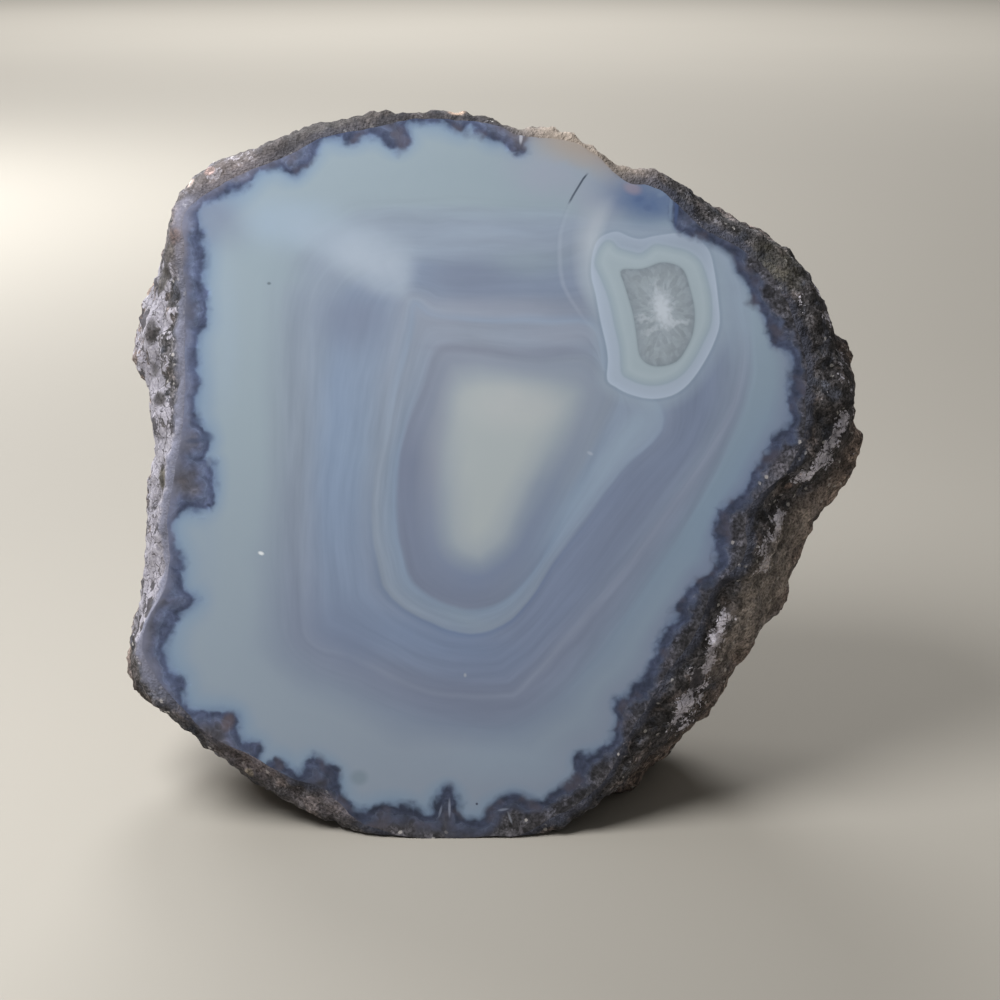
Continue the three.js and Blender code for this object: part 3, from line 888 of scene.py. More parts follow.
FIRST_GROWTH, LAST_GROWTH = -1.0, 35.0

face_spot_node = add_node("Attribute", attribute_name="face_spot")
spot = face_spot_node.outputs["Vector"]
growth_node = add_node("Attribute", attribute_name="growth_mm")
wander = add_node("TexNoise", spot, 1 / WANDER_SIZE, 2.0)
wander_mm = add_node("Math MULTIPLY_ADD", wander, 2 * WANDER_REACH, -WANDER_REACH)
growth = add_node("Math ADD", growth_node.outputs["Fac"], wander_mm)
growth_share = add_node("MapRange", growth, FIRST_GROWTH, LAST_GROWTH)
bands = {}
for side, tones in SIDE_BANDS.items():
    stops = [((place - FIRST_GROWTH) / (LAST_GROWTH - FIRST_GROWTH), TONES[tone]) for place, tone in tones]
    bands[side] = add_node("ValToRGB", growth_share, stops=stops)
print({side: len(tones) for side, tones in SIDE_BANDS.items()}, "bands on each side")

# %% Mix the sides
banded = bands["left"]
for side, share_name in (("top", "top_share"), ("right", "right_share"), ("bottom", "bottom_share")):
    share = add_node("Attribute", attribute_name=share_name)
    banded = add_node("Mix", share.outputs["Fac"], banded, bands[side])
print("sides mixed:", list(bands))

# %% [markdown]
# Between the bands run lines finer than a hair. They are noise that is squeezed along the growth and drawn
# out along the band, so each line thins and ends after a centimetre or two. They fade out in the outer
# band and in the core, where the stone is even. Real ones are about 0.05 mm apart and would not show, so
# they are drawn a millimetre apart.

# %% Draw the hair lines
LINE_SPACING = 1.1
LINE_LENGTH = 14.0
LINE_CONTRAST = 0.42
LINE_SHARES = [
    (0.0, "#202020"), (0.24, "#404040"), (0.33, "#ffffff"), (0.68, "#ffffff"), (0.78, "#505050"),
    (0.9, "#000000"),
]

along_band = add_node("VectorMath MULTIPLY", spot, (1 / LINE_LENGTH, 1 / LINE_LENGTH, 0))
growth_up = add_node("Math MULTIPLY", growth, 1 / LINE_SPACING)
growth_axis = add_node("CombineXYZ", Z=growth_up)
line_place = add_node("VectorMath ADD", along_band, growth_axis)
hair_lines = add_node("TexNoise", line_place, 1.0, 3.0, 0.6)
line_share = add_node("ValToRGB", growth_share, stops=LINE_SHARES)
line_height = add_node("Math SUBTRACT", hair_lines, 0.5)
line_effect = add_node("Math MULTIPLY", line_height, line_share)
line_value = add_node("Math MULTIPLY_ADD", line_effect, LINE_CONTRAST, 1.0)
lined = add_node("HueSaturation", Color=banded, Value=line_value)
print("hair lines", LINE_SPACING, "mm apart")

# %% Add the clouds
CLOUD_COLOURS = {
    "green": ("#93a3ae", 0.7), "mauve": ("#7c869c", 0.8), "blue": ("#7a8fb0", 0.5),
    "haze": ("#9aacbf", 0.9), "lilac": ("#9aa1b2", 0.8), "plum": ("#7f8497", 0.8),
    "milky": ("#abb7c6", 0.95), "cream": ("#b9bec1", 0.8), "deep": ("#596e94", 0.95),
}
CLOUD_BREAK_SIZE = 4.5

cloud_break = add_node("TexNoise", spot, 1 / CLOUD_BREAK_SIZE, 3.0)
cloud_break_share = add_node("MapRange", cloud_break, 0.3, 0.7, 0.75, 1.15)
clouds = lined
for name, (colour, strength) in CLOUD_COLOURS.items():
    amount = add_node("Attribute", attribute_name=name)
    broken = add_node("Math MULTIPLY", amount.outputs["Fac"], cloud_break_share)
    weight = add_node("Math MULTIPLY", broken, strength, use_clamp=True)
    clouds = add_node("Mix", weight, clouds, colour)
print("clouds:", list(CLOUD_COLOURS))

# %% [markdown]
# ### The quartz eye
# Where a hollow was left, the last silica grew as coarse quartz: grey blades that stand on the wall
# and point to the middle, ground flush with the rest. A clear zone and a pale ring with a crisp outer
# edge run round it, and a veil hangs on its left.

# %% Hang the veil
VEIL_COLOUR, VEIL_LINE_COLOUR = "#b3bcc7", "#b0bacb"
VEIL_STOPS = [
    (0.0, "#000000"), (0.085, "#000000"), (0.1, "#303030"), (0.3, "#484848"), (0.55, "#c8c8c8"),
    (0.7, "#ffffff"), (0.8, "#ffffff"), (1.0, "#000000"),
]

spot_parts = add_node("SeparateXYZ", spot)
veil_node = add_node("Attribute", attribute_name="veil_edge")
veil_low = add_node("MapRange", spot_parts.outputs["Y"], 18.0, 25.0)
veil_high = add_node("MapRange", spot_parts.outputs["Y"], 36.5, 31.0)
veil_span = add_node("Math MULTIPLY", veil_low, veil_high)
veil_across = add_node("MapRange", veil_node.outputs["Fac"], -0.5, 5.5)
veil_amount = add_node("ValToRGB", veil_across, stops=VEIL_STOPS)
veil_share = add_node("Math MULTIPLY", veil_amount, veil_span)
veil_hung = add_node("Mix", veil_share, clouds, VEIL_COLOUR)
veil_off = add_node("Math ABSOLUTE", veil_node.outputs["Fac"])
veil_line = add_node("MapRange", veil_off, 0.4, 0.08, 0.0, 0.25)
veil_line_share = add_node("Math MULTIPLY", veil_line, veil_span)
veiled = add_node("Mix", veil_line_share, veil_hung, VEIL_LINE_COLOUR)
print("veil from", LINES_DOWN["veil_edge"][0], "to", LINES_DOWN["veil_edge"][-1])

# %% Paint the ring and the clear zone
EYE_LAYERS = {
    "eye_ring": [
        (-1.8, "#9cacbc", 0.0), (-0.5, "#9cacbc", 0.4), (-0.2, "#8d9eb0", 0.55), (-0.08, "#8d9eb0", 0.6),
        (0.1, "#b0bed1", 0.95), (0.35, "#acbacd", 0.95), (0.9, "#a8b6c8", 0.95),
    ],
    "eye_clear": [
        (-0.5, "#a6b5c8", 0.0), (-0.15, "#a2b1c1", 0.5), (0.05, "#97a7b5", 0.8), (0.4, "#9fafba", 0.95),
        (1.0, "#a8b7c1", 1.0), (1.8, "#a4b3bd", 1.0),
    ],
    "eye_pocket": [
        (-0.35, "#a4b3bd", 0.0), (-0.06, "#98a6b0", 0.7), (0.06, "#89959f", 1.0), (0.4, "#909ba5", 1.0),
        (1.4, "#96a1aa", 1.0), (2.6, "#9ca7b1", 1.0),
    ],
}
ring_fades = add_node("MapRange SMOOTHSTEP", spot_parts.outputs["Y"], 26.0, 31.0, 1.0, 0.6)
eye_painted = veiled
for name, layer in EYE_LAYERS.items():
    low, high = layer[0][0], layer[-1][0]
    depth = add_node("Attribute", attribute_name=name)
    share = add_node("MapRange", depth.outputs["Fac"], low, high)
    layer_stops = [((place - low) / (high - low), colour, alpha) for place, colour, alpha in layer]
    ramp = add_node("ValToRGB", share, stops=layer_stops)
    weight = ramp.outputs["Alpha"]
    if name == "eye_ring":
        weight = add_node("Math MULTIPLY", weight, ring_fades)
    eye_painted = add_node("Mix", weight, eye_painted, ramp.outputs["Color"])
print("eye painted in", list(EYE_LAYERS))

# %% Grow the quartz blades
EYE_MIDDLE = (19.3, 22.8, 0.0)
BLADES_ROUND = 2.0
BLADE_LENGTH = 1.9

from_middle = add_node("VectorMath SUBTRACT", spot, EYE_MIDDLE)
heading = add_node("VectorMath NORMALIZE", from_middle)
heading_wide = add_node("VectorMath SCALE", heading, BLADES_ROUND)
along_blade = add_node("VectorMath SCALE", from_middle, 1 / BLADE_LENGTH)
blade_place = add_node("VectorMath ADD", heading_wide, along_blade)
blades = add_node("TexVoronoi", blade_place, 2.2, feature="SMOOTH_F1", Smoothness=0.35)
blade_tone = add_node("SeparateColor", blades.outputs["Color"])
quartz_grain = add_node("TexNoise", spot, 2.4, 3.0, 0.6, Distortion=0.4)
blade_mix = add_node("Math ADD", blade_tone.outputs[0], quartz_grain)
quartz = shaded(eye_painted, blade_mix, 0.45, 1.5, 0.88, 1.1)
pocket_node = add_node("Attribute", attribute_name="eye_pocket")
in_pocket = add_node("MapRange SMOOTHSTEP", pocket_node.outputs["Fac"], -0.02, 0.12)
with_quartz = add_node("Mix", in_pocket, eye_painted, quartz)
print("blades", BLADE_LENGTH, "mm long")

# %% Fill the middle of the eye
MILK_COLOUR = "#c8d1dc"
MILKY_PATCHES = [
    (19.3, 23.2, 1.7, 3.0, 10, 0.85), (19.8, 21.8, 1.2, 2.0, 20, 0.6), (21.2, 21.2, 1.9, 0.6, 6, 0.5),
    (17.4, 21.7, 1.9, 0.6, -6, 0.4), (18.0, 20.2, 1.7, 0.5, 24, 0.35), (18.6, 25.6, 0.5, 1.4, 10, 0.3),
]


def oval(place, middle, half_sizes, turn=0.0, soft=0.7):
    """How deep each place lies in a soft oval: 1 in its middle, 0 outside."""
    lie = (0, 0, math.radians(turn))
    local = add_node("Mapping", place, middle, lie, half_sizes, vector_type="TEXTURE")
    away = add_node("VectorMath LENGTH", local)
    return add_node("MapRange SMOOTHSTEP", away, 1.0, 1.0 - soft)


quartz_bend = add_node("TexNoise", spot, 1.5, 3.0)
quartz_bend_by = add_node(
    "VectorMath MULTIPLY_ADD", quartz_bend.outputs["Color"], (2.0, 2.0, 0), (-1.0, -1.0, 0)
)
ragged_spot = add_node("VectorMath ADD", spot, quartz_bend_by)
with_eye = with_quartz
for across, up, long, wide, turn, strength in MILKY_PATCHES:
    inside = oval(ragged_spot, (across, up, 0), (long, wide, 1), turn, 0.9)
    weight = add_node("Math MULTIPLY", inside, strength)
    with_eye = add_node("Mix", weight, with_eye, MILK_COLOUR)
print(len(MILKY_PATCHES), "milky patches in the eye")

# %% [markdown]
# ### The dark fringe
# The first coat that grew on the cavity wall is a dark blue moss of chalcedony. On the left and along the
# top it grew as round lobes with rings in them, and on the lower right as thorns. Cells give both: the
# distance to a cell's middle makes lobes when it is added to the drawn line, and thorns when it is taken
# away. A thin blue haze stands in front, since the light dies away inside the stone.

# %% Shape the fringe
LOBE_SIZE, LOBE_REACH = 2.5, 1.35
FRILL_SIZE, FRILL_REACH = 0.9, 0.5
MIDDLE_OF_CELL = 0.48
THORN_REACH = 1.1
FULLER = 0.25
BEND_SIZE, BEND_REACH = 1.8, 0.8
THORN_HEADING = (0.9, -0.35, 0.0)
THORNS_FROM, THORNS_TO = 10.0, 18.0

fringe_node = add_node("Attribute", attribute_name="fringe_mm")
bend = add_node("TexNoise", spot, 1 / BEND_SIZE, 3.0)
bend_most, bend_least = (2 * BEND_REACH, 2 * BEND_REACH, 0), (-BEND_REACH, -BEND_REACH, 0)
bend_by = add_node("VectorMath MULTIPLY_ADD", bend.outputs["Color"], bend_most, bend_least)
bent_spot = add_node("VectorMath ADD", spot, bend_by)
lobes = add_node("TexVoronoi", bent_spot, 1 / LOBE_SIZE)
frills = add_node("TexVoronoi", bent_spot, 1 / FRILL_SIZE)
lobe_mm = add_node("Math MULTIPLY_ADD", lobes.outputs["Distance"], LOBE_REACH, -MIDDLE_OF_CELL * LOBE_REACH)
frill_mm = add_node(
    "Math MULTIPLY_ADD", frills.outputs["Distance"], FRILL_REACH, -MIDDLE_OF_CELL * FRILL_REACH
)
lobed_mm = add_node("Math ADD", lobe_mm, frill_mm)
toward_thorns = add_node("VectorMath DOT_PRODUCT", spot, THORN_HEADING)
thorn_turn = add_node("MapRange", toward_thorns, THORNS_FROM, THORNS_TO, 1.0, -THORN_REACH)
lobed_line = add_node("Math MULTIPLY_ADD", lobed_mm, thorn_turn, fringe_node.outputs["Fac"])
shaped = add_node("Math SUBTRACT", lobed_line, FULLER)
print("lobes", LOBE_SIZE, "mm wide, frills", FRILL_SIZE, "mm")

# %% Paint the haze and the fringe
FRINGE_FROM, FRINGE_TO = -3.2, 0.9
FRINGE_STOPS = [
    (-3.2, "#47454b", 1.0), (-2.2, "#4a4c59", 1.0), (-1.6, "#50556a", 1.0), (-1.1, "#525b72", 1.0),
    (-0.7, "#485068", 1.0), (-0.35, "#3f475e", 1.0), (-0.1, "#414961", 0.95), (0.1, "#4c5872", 0.75),
    (0.35, "#5e6d88", 0.4), (1.0, "#7588a3", 0.0),
]
SIDE_LIGHTEN, LOW_DARKEN = 0.36, 0.26
RING_PATCH_SIZE = 4.0
HAZE_COLOUR = "#667896"
LOBE_RINGS = [
    (0.0, "#8c8c8c"), (0.16, "#808080"), (0.24, "#ededed"), (0.31, "#bbbbbb"), (0.42, "#909090"),
    (0.7, "#a8a8a8"),
]

fringe_share = add_node("MapRange", shaped, FRINGE_FROM, FRINGE_TO)
fringe_stops = [((p - FRINGE_FROM) / (FRINGE_TO - FRINGE_FROM), c, a) for p, c, a in FRINGE_STOPS]
fringe = add_node("ValToRGB", fringe_share, stops=fringe_stops)
haze = add_node("MapRange SMOOTHSTEP", fringe_node.outputs["Fac"], 1.3, -0.5, 0.0, 0.65)
hazed = add_node("Mix", haze, with_eye, HAZE_COLOUR)
# The fringe is painted lighter to the left and along the top and darker at the very bottom: partly its own
# colour, partly painted light and shade that follow the lamp's fall-off across the face.
on_left = add_node("MapRange SMOOTHSTEP", spot_parts.outputs["X"], -26.0, -34.0)
on_top = add_node("MapRange SMOOTHSTEP", spot_parts.outputs["Y"], 34.0, 40.0, 0.0, 0.8)
lighter_left_and_top = add_node("Math MAXIMUM", on_left, on_top)
low_value = add_node("MapRange", spot_parts.outputs["Y"], -29.0, -35.0, 1.0, 1.0 - LOW_DARKEN)
side_value = add_node("Math MULTIPLY_ADD", lighter_left_and_top, SIDE_LIGHTEN, low_value)
rings = add_node("ValToRGB", lobes.outputs["Distance"], stops=LOBE_RINGS)
ringed = shaded(fringe.outputs["Color"], rings, 0.2, 0.85, 0.8, 1.4)
ring_patches = add_node("TexNoise", spot, 1 / RING_PATCH_SIZE, 2.0)
ring_share = add_node("MapRange", ring_patches, 0.4, 0.6, 0.25, 1.0)
off_thorns = add_node("MapRange", thorn_turn, -THORN_REACH, 1.0, 0.2, 1.0)
ring_weight = add_node("Math MULTIPLY", ring_share, off_thorns)
fringed = add_node("Mix", ring_weight, fringe.outputs["Color"], ringed)
print("fringe painted in", len(FRINGE_STOPS), "steps")

# %% Mottle the fringe
DEPTH_SIZE = 2.4
MOTTLE_SIZE = 0.55
STAIN_SIZE = 3.2
STAIN_COLOUR = "#5a545c"

depths = add_node("TexNoise", bent_spot, 1 / DEPTH_SIZE, 3.0)
depth_value = add_node("MapRange", depths, 0.36, 0.64, 0.7, 1.24)
mottle = add_node("TexNoise", bent_spot, 1 / MOTTLE_SIZE, 3.0, 0.6)
mottle_value = add_node("MapRange", mottle, 0.3, 0.7, 0.75, 1.25)
both_values = add_node("Math MULTIPLY", depth_value, mottle_value)
all_values = add_node("Math MULTIPLY", both_values, side_value)
mottled = add_node("HueSaturation", Color=fringed, Value=all_values)
stains = add_node("TexNoise", spot, 1 / STAIN_SIZE, 2.0)
stain_share = add_node("MapRange", stains, 0.52, 0.66, 0.0, 0.5)
off_left = add_node("Math SUBTRACT", 1.0, on_left)
stain_weight = add_node("Math MULTIPLY", stain_share, off_left)
stained = add_node("Mix", stain_weight, mottled, STAIN_COLOUR)
print("mottles", MOTTLE_SIZE, "mm")

# %% [markdown]
# Outward from the moss the stone is altered basalt, the same broken gravel as on the rind. The cut goes
# through it, so the polish ends in gravel and not in a line. One function colours it for both.

# %% Let the moss pass into gravel
GRAIN_SIZE = 1.3
CHIP_SIZE = 0.6
GRIT_SIZE = 0.34
GLINT_SIZE = 0.8
GLINT_HIGHLIGHT_COLOUR = "#c4c0be"
GLINTS_ABOVE = 0.9
CUT_SHARE, CUT_COLOUR = 0.78, "#3e3d41"


def gravel(place, ground):
    """Colours broken grains over a ground colour. Gives the colour, the grains, the grit and the painted
    glints.
    """
    grains = add_node("TexVoronoi", place, 1 / GRAIN_SIZE)
    chips = add_node("TexVoronoi", place, 1 / CHIP_SIZE)
    grit = add_node("TexNoise", place, 1 / GRIT_SIZE, 2.0, 0.6)
    colour = ground
    for source, least, most in ((grains, 0.5, 1.5), (chips, 0.5, 1.6)):
        tone = add_node("SeparateColor", source.outputs["Color"])
        colour = shaded(colour, tone.outputs[0], 0.0, 1.0, least, most)
    colour = shaded(colour, grit, 0.34, 0.66, 0.35, 2.0)
    # The glints are painted highlights: light spots on a few grains, standing for light that clear quartz
    # catches.
    glint_cells = add_node("TexVoronoi", place, 1 / GLINT_SIZE)
    glint_tone = add_node("SeparateColor", glint_cells.outputs["Color"])
    is_glint = add_node("Math GREATER_THAN", glint_tone.outputs[0], GLINTS_ABOVE)
    glint_ragged = add_node("Math MULTIPLY_ADD", grit, -0.5, glint_cells.outputs["Distance"])
    glint_spot = add_node("MapRange", glint_ragged, 0.08, -0.02, 0.0, 0.8)
    glints = add_node("Math MULTIPLY", is_glint, glint_spot)
    colour = add_node("Mix", glints, colour, GLINT_HIGHLIGHT_COLOUR)
    return colour, grains, grit, glints


cut_place = add_node("TexCoord")
cut_spot = add_node("VectorMath SCALE", cut_place.outputs["Object"], 1 / MM)
cut_ground = add_node("Mix", CUT_SHARE, stained, CUT_COLOUR)
cut_gravel, *_ = gravel(cut_spot, cut_ground)
gravel_from = add_node("MapRange", thorn_turn, 1.0, -THORN_REACH, 2.4, 1.15)
never_left = add_node("Math MULTIPLY_ADD", on_left, 5.0, gravel_from)
gravel_depth = add_node("Math ADD", shaped, never_left)
gravel_share = add_node("MapRange", gravel_depth, 0.3, -0.5, 0.0, 0.95)
graveled = add_node("Mix", gravel_share, stained, cut_gravel)
with_fringe = add_node("Mix", fringe.outputs["Alpha"], hazed, graveled)
print("grains", GRAIN_SIZE, "mm and chips", CHIP_SIZE, "mm")

# %% [markdown]
# ### The rim, the crack and the marks
# At the very edge the stone is lavender down the left side, dusty pink at the upper left, and a clear beige
# chip at the top. The crack is drawn by its distance. White wisps, knots, and specks of dust and iron are
# soft ovals: across, up, half length, half width, turn, colour and strength.

# %% Tint the rim of the polish
RIM_TINTS = {
    "lavender": ("#7d8197", 1.7, 0.0, 0.95),
    "dusty": ("#8b858d", 1.3, 0.3, 0.5),
    "beige": ("#a89c91", 3.5, 1.7, 1.0),
}

edge_node = add_node("Attribute", attribute_name="edge_mm")
rimmed = with_fringe
for name, (colour, reach, full, strength) in RIM_TINTS.items():
    amount = add_node("Attribute", attribute_name=name)
    ragged_edge = add_node("Math MULTIPLY_ADD", lobe_mm, 1.2, edge_node.outputs["Fac"])
    near_edge = add_node("MapRange SMOOTHSTEP", ragged_edge, reach, full, 0.0, strength)
    weight = add_node("Math MULTIPLY", amount.outputs["Fac"], near_edge, use_clamp=True)
    tint = add_node("Mix", 0.9, rimmed, colour)
    rimmed = add_node("Mix", weight, rimmed, tint)
print("rim tints:", list(RIM_TINTS))

# %% Draw the crack
CRACK_HALF_WIDTH = 0.2
CRACK_COLOUR = "#47515f"
CRACK_STOPS = [
    (0.0, "#000000"), (0.28, "#303030"), (0.52, "#404040"), (0.57, "#e8e8e8"), (0.8, "#ffffff"),
    (0.84, "#000000"),
]

crack_node = add_node("Attribute", attribute_name="crack")
crack_gap = add_node("Math ABSOLUTE", crack_node.outputs["Fac"])
crack_line = add_node("MapRange", crack_gap, CRACK_HALF_WIDTH, CRACK_HALF_WIDTH / 3)
crack_down = add_node("MapRange", spot_parts.outputs["Y"], 29.0, 41.0)
crack_along = add_node("ValToRGB", crack_down, stops=CRACK_STOPS)
crack_share = add_node("Math MULTIPLY", crack_line, crack_along)
cracked = add_node("Mix", crack_share, rimmed, CRACK_COLOUR)
print("crack", 2 * CRACK_HALF_WIDTH, "mm wide")

# %% Drop the marks
MARKS = {
    "white dust": (-28.7, -6.4, 0.5, 0.3, -20, "#e6eaee", 0.95),
    "iron speck": (-27.6, 25.9, 0.35, 0.25, 0, "#5e6a74", 0.8),
    "bubble low": (-4.2, -21.1, 0.25, 0.35, 0, "#a9b0ba", 0.7),
    "bubble right": (10.8, 5.6, 0.55, 0.3, -25, "#a9b3c4", 0.7),
    "dark dot": (-2.8, -36.7, 0.22, 0.22, 0, "#3b4155", 0.9),
    "pink stain": (15.8, 37.2, 1.6, 1.0, -20, "#a1929c", 0.5),
    "knot": (16.6, 35.9, 0.8, 0.5, 20, "#566a90", 0.8),
    "second knot": (17.6, 34.9, 0.8, 0.6, -10, "#596c90", 0.7),
    "pale knot": (19.4, 36.6, 1.0, 0.5, 30, "#7c8ea8", 0.5),
    "blue line": (21.1, 35.2, 0.35, 3.4, -4, "#4c5e86", 0.75),
    "pale line": (20.4, 35.2, 0.3, 2.6, -4, "#8093ae", 0.5),
    "green knot": (-17.0, -33.5, 1.5, 1.3, 0, "#7b8b98", 0.7),
    "drop": (2.5, 43.2, 0.3, 1.0, -4, "#b9bcc8", 0.8),
    "low wisp": (-6.1, -37.2, 0.22, 1.5, 0, "#9098ac", 0.7),
    "low wisp beside": (-7.2, -37.6, 0.2, 1.0, -14, "#828ba0", 0.6),
    "low curl": (0.4, -37.4, 0.9, 0.2, 10, "#8e96aa", 0.6),
    "low curl beside": (1.2, -38.4, 0.2, 1.0, 20, "#9297a4", 0.6),
    "left ring": (-35.2, 7.5, 1.3, 0.9, 0, "#4e5a74", 0.7),
    "left ring core": (-36.6, 7.1, 1.5, 0.5, 3, "#3c465f", 0.6),
    "lower left ring": (-34.9, 4.6, 0.5, 0.9, -10, "#6d7a92", 0.7),
    "earth stain": (-32.8, -26.8, 1.1, 1.7, -20, "#625350", 0.6),
}
marked = cracked
for across, up, long, wide, turn, colour, strength in MARKS.values():
    inside = oval(spot, (across, up, 0), (long, wide, 1), turn)
    weight = add_node("Math MULTIPLY", inside, strength)
    marked = add_node("Mix", weight, marked, colour)
print(len(MARKS), "marks")

# %% Finish the polish
gloss = add_node("MapRange", shaped, -2.5, 0.5, 0.4, 0.15)
agate_shader = add_node(
    "BsdfPrincipled", IOR=1.54, Specular_IOR_Level=0.5, Base_Color=marked, Roughness=gloss
)
add_node("OutputMaterial", Surface=agate_shader)
print("polished_agate:", len(trees[-1].nodes), "nodes")

# %% [markdown]
# ## Weathered rind
# The rind is altered basalt and rough chalcedony, broken by weather and never worked. It is matte, with
# grains of about a millimetre, brown earth and a white chalky skin on the ridges. Its hollows and the gaps
# between its grains are darkened as painted shade. A few grains are clear quartz, and their glints are
# painted highlights.

# %% Lay the ground of the rind
weathered_rind = new_material("weathered_rind")

EARTH_SIZE = 8.0
PATCH_SIZE = 2.6

object_place = add_node("TexCoord")
rind_spot = add_node("VectorMath SCALE", object_place.outputs["Object"], 1 / MM)
earth = add_node("TexNoise", rind_spot, 1 / EARTH_SIZE, 4.0)
run_node = add_node("Attribute", attribute_name="polish_run")
earth_start = add_node("MapRange", run_node.outputs["Fac"], 4.0, 12.0, -0.5, 0.22)
earth_amount = add_node("Math ADD", earth, earth_start, use_clamp=True)
ground = add_node(
    "ValToRGB", earth_amount,
    stops=[(0.08, "#424146"), (0.35, "#464245"), (0.6, "#73645d"), (0.85, "#927f74")],
)
patches = add_node("TexNoise", rind_spot, 1 / PATCH_SIZE, 3.0)
patch_tone = add_node(
    "ValToRGB", patches, stops=[(0.36, "#444955"), (0.44, "#4c4949"), (0.56, "#504c4b"), (0.64, "#786d68")]
)
patched = add_node("Mix", 0.45, ground, patch_tone)
graveled_rind, rind_grains, rind_grit, rind_glint_highlights = gravel(rind_spot, patched)
print("ground laid with patches of", PATCH_SIZE, "mm")

# %% [markdown]
# The chalk is a thin white crust of weathered silica. It has worn through in round pits on the left flank,
# and along the right it is left only as broken fibres. Two noises decide where it holds: holes and fibres.

# %% Lay the chalk
HOLE_SIZE = 2.0
FIBRE_SIZE = 0.42
PIT_SIZE = 2.8
PIT_COLOUR = "#3d3a3f"
SEAM_SIZE = 1.5
CHALK_SPREAD = 7.0

chalk_node = add_node("Attribute", attribute_name="chalk")
holes = add_node("TexNoise", rind_spot, 1 / HOLE_SIZE, 3.0, 0.6)
fibres = add_node("TexNoise", rind_spot, 1 / FIBRE_SIZE, 2.0, 0.7)
chalk_wide = add_node("TexNoise", rind_spot, 1 / CHALK_SPREAD, 3.0)
chalk_anywhere = add_node("MapRange", chalk_wide, 0.52, 0.75, 0.0, 0.42)
chalk_want = add_node("Math MAXIMUM", chalk_node.outputs["Fac"], chalk_anywhere)
chalk_holed = add_node("Math MULTIPLY_ADD", holes, 1.3, chalk_want)
rind_side = add_node("Attribute", attribute_name="face_spot")
side_parts = add_node("SeparateXYZ", rind_side.outputs["Vector"])
off_flank = add_node("MapRange", side_parts.outputs["X"], -36.0, -24.0)
fibre_weight = add_node("MapRange", off_flank, 0.0, 1.0, 0.5, 1.6)
both_breaks = add_node("Math MULTIPLY_ADD", holes, 0.7, fibres)
fibre_height = add_node("Math SUBTRACT", both_breaks, 0.85)
chalk_sum = add_node("Math MULTIPLY_ADD", fibre_height, fibre_weight, chalk_holed)
chalk_mask = add_node("MapRange SMOOTHSTEP", chalk_sum, 1.28, 1.42)
pit_bend = add_node("VectorMath MULTIPLY_ADD", holes.outputs["Color"], (1.4, 1.4, 1.4), rind_spot)
pits = add_node("TexVoronoi", pit_bend, 1 / PIT_SIZE)
pit_tone = add_node("SeparateColor", pits.outputs["Color"])
pit_wide = add_node("MapRange", pit_tone.outputs[1], 0.0, 1.0, 0.1, 0.62)
pit_rim = add_node("Math MULTIPLY_ADD", fibre_height, 0.5, pits.outputs["Distance"])
pit_depth = add_node("Math SUBTRACT", pit_wide, pit_rim)
pit_share = add_node("MapRange", pit_depth, 0.0, 0.1)
seams = add_node("TexVoronoi", pit_bend, 1 / SEAM_SIZE, feature="DISTANCE_TO_EDGE")
seam_line = add_node("MapRange", seams.outputs["Distance"], 0.07, 0.03)
seam_broken = add_node("MapRange", fibres, 0.45, 0.55)
seam_share = add_node("Math MULTIPLY", seam_line, seam_broken)
gone = add_node("Math MAXIMUM", pit_share, seam_share)
chalk_left = add_node("Math MULTIPLY_ADD", gone, -0.9, 1.0)
chalk_share = add_node("Math MULTIPLY", chalk_mask, chalk_left)
chalk_tone = add_node("ValToRGB", fibres, stops=[(0.34, "#8d8a95"), (0.5, "#a5a2ad"), (0.66, "#b9b6bf")])
# Away from the left flank the chalk is painted up to twice as light: painted light on the side that the lamp
# leaves in shade.
chalk_with_painted_light = shaded(chalk_tone, off_flank, 0.0, 1.0, 0.95, 2.0)
pit_dark = add_node("Math MULTIPLY", chalk_mask, gone)
pitted = add_node("Mix", pit_dark, graveled_rind, PIT_COLOUR)
chalked = add_node("Mix", chalk_share, pitted, chalk_with_painted_light)
print("chalk with pits of", PIT_SIZE, "mm")

# %% [markdown]
# Next to the polish the rind is the same blue moss as the fringe, seen on a broken edge. Its colour runs on
# over the edge for about a millimetre, so that the polish has no hard border. The lavender, the dusty pink
# and the beige of the rim run on too.

# %% Run the rim's colours over the edge
EDGE_TONES = {
    "moss": ("#434757", 1.7, 0.75), "lavender": ("#8a8c9f", 2.4, 0.85), "dusty": ("#8d8280", 6.0, 0.45),
    "beige": ("#aa9d91", 7.0, 1.0),
}
ragged_run = add_node("Math MULTIPLY_ADD", holes, 2.4, run_node.outputs["Fac"])
edged = chalked
for name, (colour, reach, strength) in EDGE_TONES.items():
    near_polish = add_node("MapRange SMOOTHSTEP", ragged_run, reach + 1.2, 1.2, 0.0, 1.6 * strength)
    weight = add_node("Math MINIMUM", near_polish, strength)
    if name != "moss":
        amount = add_node("Attribute", attribute_name=name)
        weight = add_node("Math MULTIPLY", amount.outputs["Fac"], weight, use_clamp=True)
    tint = shaded(colour, rind_grit, 0.3, 0.7, 0.88, 1.1)
    edged = add_node("Mix", weight, edged, tint)
print("rim tones:", list(EDGE_TONES))

